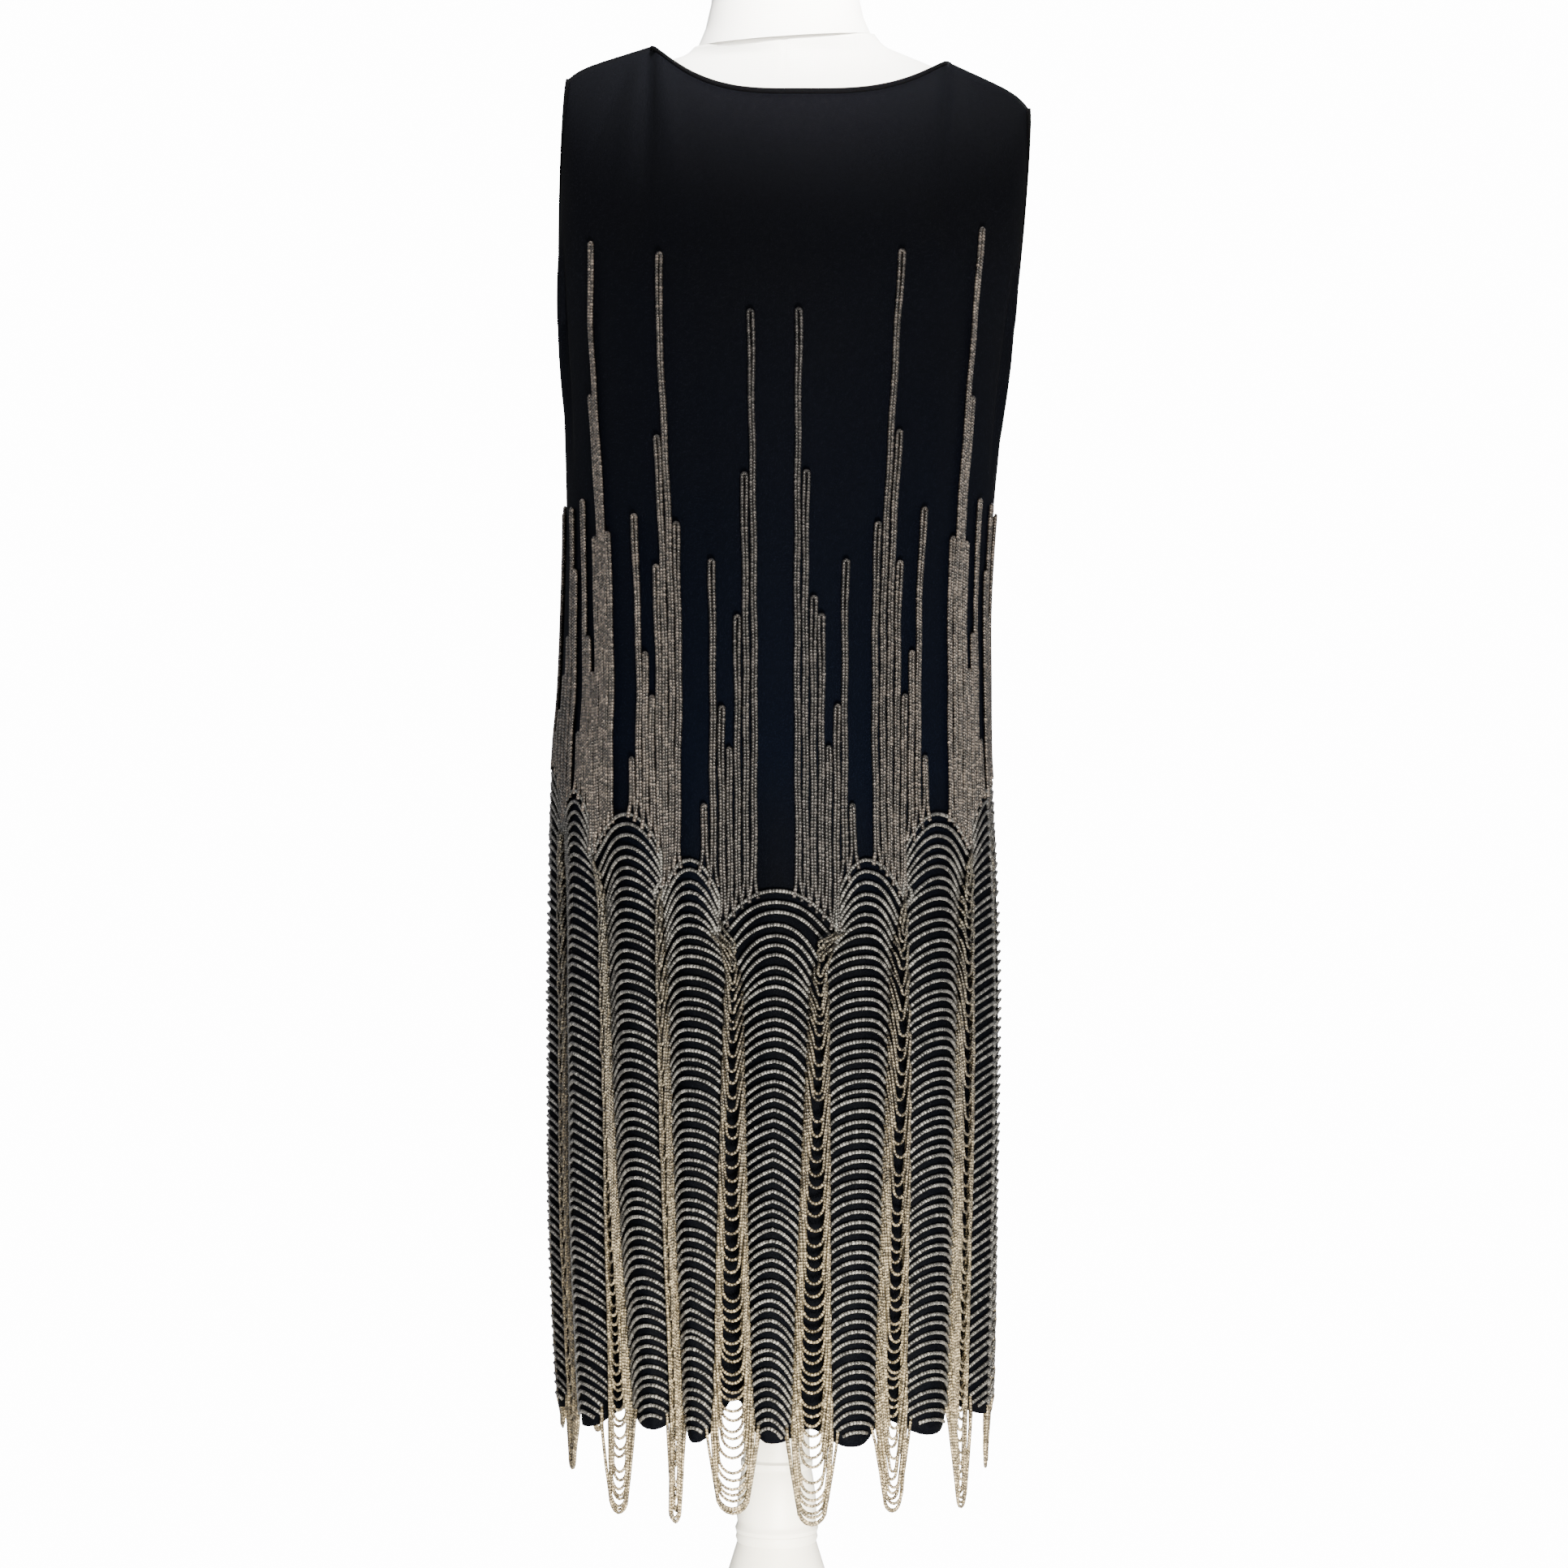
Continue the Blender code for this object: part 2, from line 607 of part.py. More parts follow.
# ---- the dress form and its stand ----
def add_loft(name, rings, material):
    """A closed solid through rings of equal count, the first one lowest."""
    count = len(rings[0])
    corners = [corner for ring in rings for corner in ring]
    faces = [list(reversed(range(count)))]
    for row in range(len(rings) - 1):
        low, high = row * count, (row + 1) * count
        for i in range(count):
            j = (i + 1) % count
            faces.append([low + i, low + j, high + j, high + i])
    faces.append([(len(rings) - 1) * count + i for i in range(count)])
    thing = add_object(name, corners, faces, material)
    thing.data.shade_smooth()
    thing.data.set_sharp_from_angle(angle=math.radians(40))
    return thing


def tilted(point):
    """Raise the neck's seam towards the right and the back."""
    if point.z > NECK_TILT_FROM:
        share = min((point.z - NECK_TILT_FROM) / NECK_TILT_OVER, 1.0)
        fade = min(max((NECK_LEAN_TOP - point.z) / NECK_LEAN_FADE, 0.0), 1.0)
        point.z += (NECK_TILT * (point.x - FORM_X) + NECK_LEAN * point.y * fade) * share
    return point


def add_torso(material):
    rings = []
    for row in FORM_ROWS:
        ring = []
        for i in range(ROUND_SEGMENTS):
            turn = 2 * math.pi * i / ROUND_SEGMENTS
            across, along = math.cos(turn), math.sin(turn)
            depth = row.back if along > 0 else row.front
            x = math.copysign(abs(across) ** (2 / row.power), across) * row.half_width
            y = math.copysign(abs(along) ** (2 / row.power), along) * depth
            ring.append(tilted(Vector((FORM_X + x, y, row.height))))
        rings.append(ring)
    add_loft("form_torso", rings, material)


def add_turned(name, profile, centre_x, material, oval=1.0):
    rings = []
    for radius, height in profile:
        ring = []
        for i in range(ROUND_SEGMENTS):
            turn = 2 * math.pi * i / ROUND_SEGMENTS
            point = Vector((centre_x + radius * math.cos(turn), radius * oval * math.sin(turn), height))
            ring.append(tilted(point))
        rings.append(ring)
    add_loft(name, rings, material)


# ---- everything in its place ----
def add_dress(crepe, beads):
    flutes = panel_flutes()
    for side in ("front", "back"):
        lines = [Line(side, flute) for flute in flutes]
        add_panel(side, lines, crepe)
        add_bead_rows(side, lines, beads)
        add_neck_binding(side, flutes, lines, crepe)
        add_armhole_binding(side, f"armhole_binding_left_{side}", lines[0], lines[1], crepe)
        add_armhole_binding(side, f"armhole_binding_right_{side}", lines[-1], lines[-2], crepe)
        for number, table in enumerate(FRONT_COLUMNS, start=1):
            first = flutes.index(min(flutes, key=lambda flute: abs(flute - (table.flute - 1 / 3))))
            tops = [table.inner, table.second, table.third, table.outer]
            add_columns(side, f"{side}_bead_columns_right_{number}", lines[first:first + 5], tops, beads)
            last = len(lines) - first
            add_columns(side, f"{side}_bead_columns_left_{number}", lines[last - 5:last], tops[::-1], beads)
        tops = list(SIDE_COLUMN_TOPS)
        add_columns(side, f"{side}_bead_columns_right_side", lines[-3:], tops, beads)
        add_columns(side, f"{side}_bead_columns_left_side", lines[:3], tops[::-1], beads)
        for number, swag in enumerate(FRONT_SWAGS, start=1):
            add_swag(f"{side}_swag_{number}", side, swag, beads)
    add_swag("side_swag_right", "front", SIDE_SWAG, beads)
    add_swag("side_swag_left", "front", SIDE_SWAG._replace(flute=-SIDE_SWAG.flute), beads)


def add_form(cover, paint):
    add_torso(cover)
    add_turned("form_neck", NECK_PROFILE, FORM_X, cover, NECK_OVAL)
    add_turned("form_neck_cap", NECK_CAP_PROFILE, FORM_X, paint, NECK_OVAL)
    add_turned("stand_post", POST_PROFILE, AXIS_X, paint)
    add_turned("stand_foot", FOOT_PROFILE, AXIS_X, paint)


clear_scene()
black_crepe = make_material("black_crepe", (0.006, 0.006, 0.009), 0.75)
silver_beads = make_material("silver_beads", (0.33, 0.30, 0.25), 0.3)
form_cover = make_material("form_cover", (0.86, 0.84, 0.80), 0.8)
white_paint = make_material("white_paint", (0.88, 0.86, 0.82), 0.45)
add_dress(black_crepe, silver_beads)
add_form(form_cover, white_paint)
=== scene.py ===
import math
from collections import namedtuple

import bmesh
import bpy
import numpy as np
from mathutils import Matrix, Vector


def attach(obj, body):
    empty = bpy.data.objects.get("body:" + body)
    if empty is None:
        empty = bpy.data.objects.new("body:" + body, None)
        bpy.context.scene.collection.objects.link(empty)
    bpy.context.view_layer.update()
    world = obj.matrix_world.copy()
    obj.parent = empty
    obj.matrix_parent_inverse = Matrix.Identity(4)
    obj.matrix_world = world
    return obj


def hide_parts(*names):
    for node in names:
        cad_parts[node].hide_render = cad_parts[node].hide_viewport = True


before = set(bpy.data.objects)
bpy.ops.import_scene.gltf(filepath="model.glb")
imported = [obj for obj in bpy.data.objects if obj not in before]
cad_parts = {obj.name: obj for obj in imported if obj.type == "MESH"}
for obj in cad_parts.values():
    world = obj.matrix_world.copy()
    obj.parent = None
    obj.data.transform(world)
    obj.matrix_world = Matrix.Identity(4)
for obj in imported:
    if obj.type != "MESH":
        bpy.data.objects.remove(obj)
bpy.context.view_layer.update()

bpy.ops.object.select_all(action="DESELECT")
print("frame loaded,", len(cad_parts), "nodes")

# The worn cloth. The front faces -Y and +X is to the right. Each panel hangs in nine flutes,
# counted from its centre line: whole numbers are crests, halves the hollows between them.
dress = {
    "axisX": -0.0085,          # the stand's axis
    "seamFlute": 4.5,
    "lastCrest": 4,
    "hemHeight": 0.325,
    "hipHeight": 0.76,
    "bustHeight": 1.20,
    "underarm": 1.150,
    "fluteTop": 0.88,          # the flutes fade out above this
    "fluteFull": 0.62,
    "fluteDepth": 0.0058,
    "hemFluteDepth": 0.0072,
    "chestPower": 2.4,         # how late the chest curves in to the shoulder
    "armholeForward": 0.045,
    "archPowers": (1.3, 0.6),  # the armhole's bend forward, inside it and at its edge
    "shoulder": (0.78, 0.22, 8),       # its slope's straight share, its turned share and how late that turns
    "scallopPower": 1.4,
    "valleyDrop": 0.030,       # the beaded rows start this much lower in the hollows
    "sideDrop": 0.027,         # but no row falls further than this to its end
    "seamGap": 0.0003,
    "beadEdge": 4.49,          # no bead is sewn nearer to the side seam
}

clothSections = np.array([     # height, then the mean cloth's reach to the left, right, front and back
    (0.325, 0.1590, 0.1560, 0.140, 0.141),
    (0.474, 0.1665, 0.1600, 0.145, 0.146),
    (0.600, 0.1680, 0.1630, 0.147, 0.148),
    (0.720, 0.1690, 0.1635, 0.148, 0.150),
    (0.784, 0.1695, 0.1620, 0.147, 0.150),
    (0.834, 0.1680, 0.1610, 0.144, 0.148),
    (0.877, 0.1645, 0.1610, 0.140, 0.144),
    (0.940, 0.1620, 0.1610, 0.135, 0.136),
    (1.000, 0.1605, 0.1645, 0.131, 0.127),
    (1.060, 0.1615, 0.1700, 0.129, 0.119),
    (1.150, 0.1645, 0.1790, 0.128, 0.112),
])

Crest = namedtuple("Crest", "flute bust hip hem rowsTop hemHeight")
crests = np.array([            # angles at three heights, then where the beaded rows begin and end
    Crest(-4.5, -90.0, -90.0, -90.0, 0.822, 0.345),
    Crest(-4, -84.0, -83.0, -84.0, 0.822, 0.332),
    Crest(-3, -70.0, -60.0, -59.0, 0.800, 0.328),
    Crest(-2, -48.0, -39.0, -33.0, 0.783, 0.334),
    Crest(-1, -24.5, -21.0, -21.0, 0.750, 0.327),
    Crest(0, -0.5, 0.0, -1.3, 0.728, 0.328),
    Crest(1, 23.5, 22.5, 20.0, 0.750, 0.324),
    Crest(2, 47.5, 45.0, 44.5, 0.783, 0.327),
    Crest(3, 69.0, 74.0, 76.0, 0.800, 0.331),
    Crest(4, 84.5, 85.5, 86.5, 0.815, 0.333),
    Crest(4.5, 90.0, 90.0, 90.0, 0.815, 0.345),
])

Hollow = namedtuple("Hollow", "hemHeight bottom looseWidth lowWidth midWidth shift")
hollows = {                    # the hem there, the lowest loop, widths down the skirt, where the top V leans
    -3.5: Hollow(0.345, 0.289, 0.023, 0.022, 0.016, 0.0),
    -2.5: Hollow(0.344, 0.268, 0.030, 0.019, 0.005, -0.18),
    -1.5: Hollow(0.342, 0.266, 0.011, 0.007, 0.007, 0.0),
    -0.5: Hollow(0.358, 0.276, 0.036, 0.026, 0.017, -0.18),
    0.5: Hollow(0.336, 0.268, 0.032, 0.027, 0.018, 0.20),
    1.5: Hollow(0.339, 0.273, 0.022, 0.024, 0.019, 0.07),
    2.5: Hollow(0.342, 0.268, 0.021, 0.022, 0.023, 0.13),
    3.5: Hollow(0.344, 0.287, 0.017, 0.016, 0.013, 0.0),
    4.5: Hollow(0.345, 0.284, 0.018, 0.016, 0.012, 0.0),
}

Shoulder = namedtuple("Shoulder", "neckFlute neckX neckHeight endX endHeight")
leftShoulder = Shoulder(-1.5, -0.0955, 1.369, -0.1600, 1.343)
rightShoulder = Shoulder(10 / 6, 0.1310, 1.357, 0.1930, 1.3205)
neckline = {"frontHeight": 1.324, "backHeight": 1.334, "depth": 0.062, "lowX": 0.017, "power": 3.0}

turns = {"front": 1, "back": -1}       # the back counts its flutes the other way


def together(*values):
    return np.broadcast_arrays(*(np.asarray(value, float) for value in values))


def mix(low, high, share):
    return low + (high - low) * share


def ease(share):
    share = np.clip(share, 0.0, 1.0)
    return share * share * (3.0 - 2.0 * share)


def readTable(rows, at):       # columns after the first, on a smooth curve through the rows
    rows = np.asarray(rows, float)
    keys = rows[:, 0]
    at = np.clip(np.asarray(at, float), keys[0], keys[-1])
    low = np.clip(np.searchsorted(keys, at, side="right") - 1, 0, len(keys) - 2)
    high = low + 1
    before, after = np.maximum(low - 1, 0), np.minimum(low + 2, len(keys) - 1)
    span = keys[high] - keys[low]
    share = ((at - keys[low]) / span)[..., None]
    lowSlope = (rows[high, 1:] - rows[before, 1:]) / (keys[high] - keys[before])[..., None]
    highSlope = (rows[after, 1:] - rows[low, 1:]) / (keys[after] - keys[low])[..., None]
    return (
        rows[low, 1:] * (1 + 2 * share) * (1 - share) ** 2
        + rows[high, 1:] * share * share * (3 - 2 * share)
        + span[..., None] * lowSlope * share * (1 - share) ** 2
        - span[..., None] * highSlope * share * share * (1 - share)
    )


def crestValue(flute, column):
    return np.interp(flute, crests[:, 0], crests[:, Crest._fields.index(column)])


def panelAngle(side, flute, height):       # degrees round the figure, 0 at the centre front
    flute, height = together(flute, height)
    if side == "back":
        return 180.0 + panelAngle("front", -flute, height)
    hem, hip, bust = (crestValue(flute, column) for column in ("hem", "hip", "bust"))
    low = ease((height - dress["hemHeight"]) / (dress["hipHeight"] - dress["hemHeight"]))
    high = ease((height - dress["hipHeight"]) / (dress["bustHeight"] - dress["hipHeight"]))
    return np.where(height < dress["hipHeight"], mix(hem, hip, low), mix(hip, bust, high))


def around(angle, height, out=0.0):        # a point of the mean cloth, moved out from the axis
    angle, height, out = together(angle, height, out)
    left, right, front, back = np.moveaxis(readTable(clothSections, height), -1, 0)
    turn = np.radians(angle)
    reachX = np.where(np.sin(turn) > 0, right, left)
    reachY = np.where(np.cos(turn) > 0, front, back)
    x = dress["axisX"] + (reachX + out) * np.sin(turn)
    return np.stack([x, -(reachY + out) * np.cos(turn), height], axis=-1)


def fluteSwell(flute, height):
    toFull = ease((height - dress["hemHeight"]) / (dress["fluteFull"] - dress["hemHeight"]))
    depth = mix(dress["hemFluteDepth"], dress["fluteDepth"], toFull)
    fade = ease((dress["fluteTop"] - height) / (dress["fluteTop"] - dress["fluteFull"]))
    return depth * fade * np.cos(2 * np.pi * flute)


def keepToSide(side, points):  # just short of the plane where side and shoulder seams meet
    hold, hand = (np.minimum, -1) if side == "front" else (np.maximum, 1)
    points[..., 1] = hold(points[..., 1], hand * dress["seamGap"] / 2)
    return points


def topEdge(side, flute):      # the shoulder seams, and the neckline between them
    flute = np.asarray(flute, float)
    share = turns[side] * np.sin(np.radians(crestValue(turns[side] * flute, "bust")))
    onRight = share > 0
    fields = [np.where(onRight, right, left) for left, right in zip(leftShoulder, rightShoulder)]
    neckFlute, neckX, neckHeight, endX, endHeight = fields
    neckShare = np.abs(np.sin(np.radians(crestValue(neckFlute, "bust"))))
    share = np.abs(share)
    along = np.clip((share - neckShare) / (1 - neckShare), 0.0, 1.0)
    shoulderX = mix(neckX, endX, along)
    straight, turned, late = dress["shoulder"]
    shoulderZ = mix(neckHeight, endHeight, straight * along + turned * along ** late)
    x = neckX * np.minimum(share / neckShare, 1.0)
    across = np.minimum(np.abs((x - neckline["lowX"]) / (neckX - neckline["lowX"])), 1.0)
    neckZ = mix(neckline[side + "Height"], neckHeight, across ** neckline["power"])
    depth = neckline["depth"] * np.sqrt(1 - across * across)
    beyond = share > neckShare
    y = np.where(beyond, 0.0, -turns[side] * depth)
    x = dress["axisX"] + np.where(beyond, shoulderX, x)
    return keepToSide(side, np.stack([x, y, np.where(beyond, shoulderZ, neckZ)], axis=-1))


def clothPoint(side, flute, height):       # the outer face of the cloth
    flute, height = together(flute, height)
    level = np.minimum(height, dress["underarm"])
    low = around(panelAngle(side, flute, level), level, fluteSwell(flute, level))
    top = topEdge(side, flute)
    share = np.clip((height - dress["underarm"]) / (top[..., 2] - dress["underarm"]), 0.0, 1.0)
    reach = np.abs(np.sin(np.radians(panelAngle(side, flute, dress["underarm"]))))
    arch = np.maximum(np.sin(np.pi * share), 0.0) ** mix(*dress["archPowers"], reach ** 8)
    standOff = dress["armholeForward"] * arch * reach ** 4 * -turns[side]
    high = np.stack([
        mix(low[..., 0], top[..., 0], share),
        mix(low[..., 1], top[..., 1], share ** dress["chestPower"]) + standOff,
        mix(low[..., 2], top[..., 2], share),
    ], axis=-1)
    return keepToSide(side, np.where((height > dress["underarm"])[..., None], high, low))


def unit(vectors):
    return vectors / np.maximum(np.linalg.norm(vectors, axis=-1, keepdims=True), 1e-9)


def clothNormal(side, flute, height):
    flute, height = together(flute, height)
    reach, rise = 0.02, 0.004
    over = np.minimum(height + rise, topEdge(side, flute)[..., 2])
    seam = dress["seamFlute"]
    right, left = np.minimum(flute + reach, seam), np.maximum(flute - reach, -seam)
    across = clothPoint(side, right, height) - clothPoint(side, left, height)
    up = clothPoint(side, flute, over) - clothPoint(side, flute, over - 2 * rise)
    return unit(np.cross(across, up) if side == "front" else np.cross(up, across))


Crease = namedtuple("Crease", "flute height toFlute toHeight width depth")
creases = {                    # soft folds of the plain cloth; a minus depth is a trough
    "front": [
        Crease(-1.62, 1.360, -1.90, 1.235, 0.0075, 0.0020),
        Crease(-1.50, 1.362, -1.45, 1.210, 0.0060, -0.0022),
        Crease(-1.38, 1.355, -1.05, 1.240, 0.0065, 0.0018),
        Crease(-1.80, 1.352, -2.60, 1.262, 0.0070, -0.0020),
        Crease(1.62, 1.350, 1.36, 1.235, 0.0070, 0.0018),
        Crease(1.74, 1.350, 1.75, 1.200, 0.0065, -0.0022),
        Crease(1.86, 1.346, 2.20, 1.225, 0.0075, 0.0022),
        Crease(2.00, 1.342, 2.90, 1.245, 0.0070, -0.0018),
        Crease(-3.60, 1.200, -3.35, 1.050, 0.0080, -0.0035),
        Crease(-3.95, 1.210, -3.80, 1.080, 0.0070, 0.0035),
        Crease(3.95, 1.190, 3.75, 1.060, 0.0080, 0.0035),
        Crease(3.60, 1.185, 3.30, 1.045, 0.0080, -0.0030),
        Crease(-0.95, 1.150, -0.80, 0.960, 0.0100, -0.0016),
        Crease(-0.20, 1.120, -0.05, 0.930, 0.0120, 0.0014),
        Crease(0.85, 1.160, 0.75, 0.980, 0.0110, -0.0014),
        Crease(1.95, 1.130, 1.80, 0.990, 0.0100, 0.0014),
    ],
    "back": [
        Crease(-1.60, 1.352, -1.85, 1.240, 0.0075, 0.0018),
        Crease(-1.74, 1.350, -1.60, 1.215, 0.0065, -0.0020),
        Crease(1.52, 1.360, 1.42, 1.220, 0.0065, -0.0022),
        Crease(1.66, 1.358, 1.98, 1.235, 0.0070, 0.0020),
        Crease(-3.70, 1.195, -3.45, 1.060, 0.0080, -0.0030),
        Crease(3.70, 1.200, 3.45, 1.055, 0.0080, -0.0030),
        Crease(3.98, 1.205, 3.85, 1.085, 0.0070, 0.0032),
        Crease(-0.60, 1.140, -0.50, 0.960, 0.0120, 0.0014),
        Crease(0.40, 1.150, 0.50, 0.950, 0.0110, -0.0014),
    ],
}


fold = {"fluteGirth": 0.050, "share": (0.88, 0.08), "power": 0.8, "toSeam": 0.5, "toTop": 0.010}


def creaseDepth(side, flute, height):
    flute, height = together(flute, height)
    across = flute * fold["fluteGirth"]        # metres along the girth, near enough for a fold
    depth = np.zeros(flute.shape)
    for crease in creases[side]:
        start = np.array([crease.flute * fold["fluteGirth"], crease.height])
        along = np.array([crease.toFlute * fold["fluteGirth"], crease.toHeight]) - start
        length = np.linalg.norm(along)
        offX, offZ = across - start[0], height - start[1]
        share = np.clip((offX * along[0] + offZ * along[1]) / length ** 2, 0.0, 1.0)
        away = np.hypot(offX - share * along[0], offZ - share * along[1])
        part = share * fold["share"][0] + fold["share"][1]
        taper = np.sin(np.pi * np.clip(part, 0.0, 1.0)) ** fold["power"]
        depth += crease.depth * taper * np.exp(-(away / crease.width) ** 2)
    toSeam = ease((dress["seamFlute"] - np.abs(flute)) / fold["toSeam"])
    toTop = ease((topEdge(side, flute)[..., 2] - height) / fold["toTop"])
    return depth * toSeam * toTop


def dressPoint(side, flute, height, out=0.0):
    offset = np.asarray(out, float) + creaseDepth(side, flute, height)
    return clothPoint(side, flute, height) + clothNormal(side, flute, height) * offset[..., None]


def hollowOf(side, flute):
    return hollows[dress["seamFlute"] if abs(flute) > dress["lastCrest"] else turns[side] * flute]


def crestNear(flute):
    return np.clip(flute, -dress["lastCrest"], dress["lastCrest"])


def hemHeight(side, flute):    # low on the crests, high in the hollows
    flute = np.atleast_1d(turns[side] * np.asarray(flute, float))
    crest = crestValue(crestNear(np.round(flute)), "hemHeight")
    keys = np.array(sorted([-dress["seamFlute"], *hollows]))
    tops = np.array([hollowOf("front", key).hemHeight for key in keys])
    near = tops[np.argmin(np.abs(flute[:, None] - keys[None, :]), axis=1)]
    share = 0.5 - 0.5 * np.cos(2 * np.pi * flute)
    return mix(crest, near, share ** dress["scallopPower"])


def valleyHeight(flute):       # where the rows of two flutes first meet, front table
    ends = [crestValue(crestNear(np.floor(flute) + i), "rowsTop") for i in (0, 1)]
    return float(min(ends)) - dress["valleyDrop"]


def rowsTop(side, flute):      # one arch over each flute, with V hollows between
    own = float(turns[side] * flute)
    low = np.floor(own)
    crest = float(crestNear(low if own < low + 0.5 + hollowOf("front", low + 0.5).shift else low + 1))
    beside = crest + (0.5 if own >= crest else -0.5)
    reach = abs(beside + hollowOf("front", beside).shift - crest)
    top = float(crestValue(crest, "rowsTop"))
    drop = min(top - valleyHeight(beside), dress["sideDrop"])
    return top - drop * min(abs(own - crest) / reach, 1.0) ** 2.0


def newMaterial(name):
    material = bpy.data.materials.new(name)
    material.use_nodes = True
    return material, material.node_tree


def feed(tree, socket, value):             # from another node, or a fixed value
    if isinstance(value, bpy.types.NodeSocket):
        tree.links.new(value, socket)
    else:
        socket.default_value = value


def addNode(tree, kind, settings=None, **inputs):
    node = tree.nodes.new(kind)
    for key, value in (settings or {}).items():
        setattr(node, key, value)
    for label, value in inputs.items():
        feed(tree, node.inputs[label], value)
    return node


def setShader(tree, values):
    shader = tree.nodes["Principled BSDF"]
    for label, value in values.items():
        feed(tree, shader.inputs[label], value)


def maths(tree, operation, *values):
    node = addNode(tree, "ShaderNodeMath", {"operation": operation})
    for socket, value in zip(node.inputs, values):
        feed(tree, socket, value)
    return node.outputs[0]


def mixColour(tree, factor, first, second, blend="MIX"):
    node = addNode(tree, "ShaderNodeMix", {"data_type": "RGBA", "blend_type": blend})
    for index, value in ((0, factor), (6, first), (7, second)):    # the sockets for colours
        feed(tree, node.inputs[index], value)
    return node.outputs[2]


def ramp(tree, factor, stops):
    node = addNode(tree, "ShaderNodeValToRGB", Fac=factor)
    while len(node.color_ramp.elements) < len(stops):
        node.color_ramp.elements.new(0.5)
    for element, (position, colour) in zip(node.color_ramp.elements, stops):
        element.position = position
        element.color = (*colour, 1.0)
    return node.outputs["Color"]


def objectPlace(tree):
    return addNode(tree, "ShaderNodeTexCoord").outputs["Object"]


def axes(tree, vector):
    return addNode(tree, "ShaderNodeSeparateXYZ", Vector=vector).outputs


def noise(tree, place, scale, detail):
    return addNode(tree, "ShaderNodeTexNoise", Vector=place, Scale=scale, Detail=detail).outputs["Fac"]


def stretched(tree, place, scales):
    return addNode(tree, "ShaderNodeMapping", Vector=place, Scale=scales).outputs[0]


def bump(tree, strength, distance, height):
    return addNode(tree, "ShaderNodeBump", Strength=strength, Distance=distance, Height=height).outputs[0]


def newGroup(name, gives, takes):          # its own tree, what it is given and what it puts out
    group = bpy.data.node_groups.new(name, "ShaderNodeTree")
    for way, sockets in (("INPUT", gives), ("OUTPUT", takes)):
        for label, kind in sockets.items():
            group.interface.new_socket(label, in_out=way, socket_type=f"NodeSocket{kind}")
    return group, group.nodes.new("NodeGroupInput").outputs, group.nodes.new("NodeGroupOutput").inputs


surface = {"Color": "Color", "Roughness": "Float", "Normal": "Vector"}

bead = {
    "roundness": 0.6, "toneSpread": 1.6, "toneShare": 0.75, "glintShare": 0.5, "relief": 0.0007,
    "roughness": 0.22, "roughnessSpread": 0.3, "metallic": 0.3, "specular": 0.38,
}


def makeBeadGroup():           # beads counted along each string by its own UV map
    group, given, leave = newGroup(
        "beadString", {"Joint": "Color", "Dull": "Color", "Bright": "Color", "Glint": "Float"}, surface,
    )
    along = axes(group, addNode(group, "ShaderNodeUVMap", {"uv_map": "strand"}).outputs[0])[0]
    number = maths(group, "FLOOR", along)
    tone, shine = (
        addNode(group, "ShaderNodeTexWhiteNoise", {"noise_dimensions": "1D"}, W=seed).outputs["Value"]
        for seed in (number, maths(group, "ADD", number, 0.37))
    )
    crown = maths(group, "SINE", maths(group, "MULTIPLY", maths(group, "FRACT", along), math.pi))
    body = maths(group, "POWER", maths(group, "MAXIMUM", crown, 0.0), bead["roundness"])
    bright = maths(group, "MULTIPLY", maths(group, "POWER", tone, bead["toneSpread"]), bead["toneShare"])
    # a few beads at random get a painted glint: a brighter colour that stands in for their sparkle
    glint = maths(group, "GREATER_THAN", shine, maths(group, "SUBTRACT", 1.0, given["Glint"]))
    share = maths(group, "ADD", bright, maths(group, "MULTIPLY", glint, bead["glintShare"]))
    glass = mixColour(group, maths(group, "MINIMUM", share, 1.0), given["Dull"], given["Bright"])
    uneven = maths(group, "MULTIPLY", shine, bead["roughnessSpread"])
    feed(group, leave["Color"], mixColour(group, body, given["Joint"], glass))
    feed(group, leave["Roughness"], maths(group, "ADD", uneven, bead["roughness"]))
    feed(group, leave["Normal"], bump(group, 0.8, bead["relief"], body))
    return group


beadGroup = makeBeadGroup()


def beadMaterial(name, joint, dull, bright, glint, toneAndShade, sideways=False):
    material, tree = newMaterial(name)
    beads = addNode(tree, "ShaderNodeGroup", {"node_tree": beadGroup}, Glint=glint,
                    Joint=(*joint, 1.0), Dull=(*dull, 1.0), Bright=(*bright, 1.0)).outputs
    place = axes(tree, objectPlace(tree))
    # this ramp, by height or sideways by distance from the middle, carries painted light and shade on the
    # columns and swags
    tint = ramp(tree, maths(tree, "ABSOLUTE", place[0]) if sideways else place[2], toneAndShade)
    setShader(tree, {
        "Base Color": mixColour(tree, 1.0, beads["Color"], tint, "MULTIPLY"),
        "Roughness": beads["Roughness"],
        "Normal": beads["Normal"],
        "Metallic": bead["metallic"],
        "Specular IOR Level": bead["specular"],
    })
    return material


columnBeads = beadMaterial(    # painted light: paler away from the middle, where the outer columns catch the light; the other two change with height
    "columnBeads", (0.007, 0.0063, 0.0058), (0.030, 0.0265, 0.0245), (0.23, 0.202, 0.184), 0.09,
    [(0.0, (0.22, 0.22, 0.23)), (0.05, (0.22, 0.215, 0.21)), (0.12, (0.50, 0.46, 0.42))], sideways=True,
)
rowBeads = beadMaterial(
    "rowBeads", (0.010, 0.0097, 0.0093), (0.036, 0.035, 0.033), (0.185, 0.178, 0.165), 0.10,
    [(0.35, (0.78, 0.76, 0.72)), (0.60, (0.82, 0.82, 0.82)), (0.78, (0.72, 0.71, 0.70))],
)
# painted shade: the swag strings go darker higher up, in the hollows between the crests, and paler on the
# loops that hang free below the hem
swagBeads = beadMaterial(
    "swagBeads", (0.010, 0.009, 0.007), (0.085, 0.077, 0.064), (0.60, 0.55, 0.46), 0.13,
    [(0.30, (0.76, 0.65, 0.45)), (0.38, (0.46, 0.395, 0.27)), (0.56, (0.26, 0.23, 0.18)),
     (0.70, (0.18, 0.17, 0.15))],
)

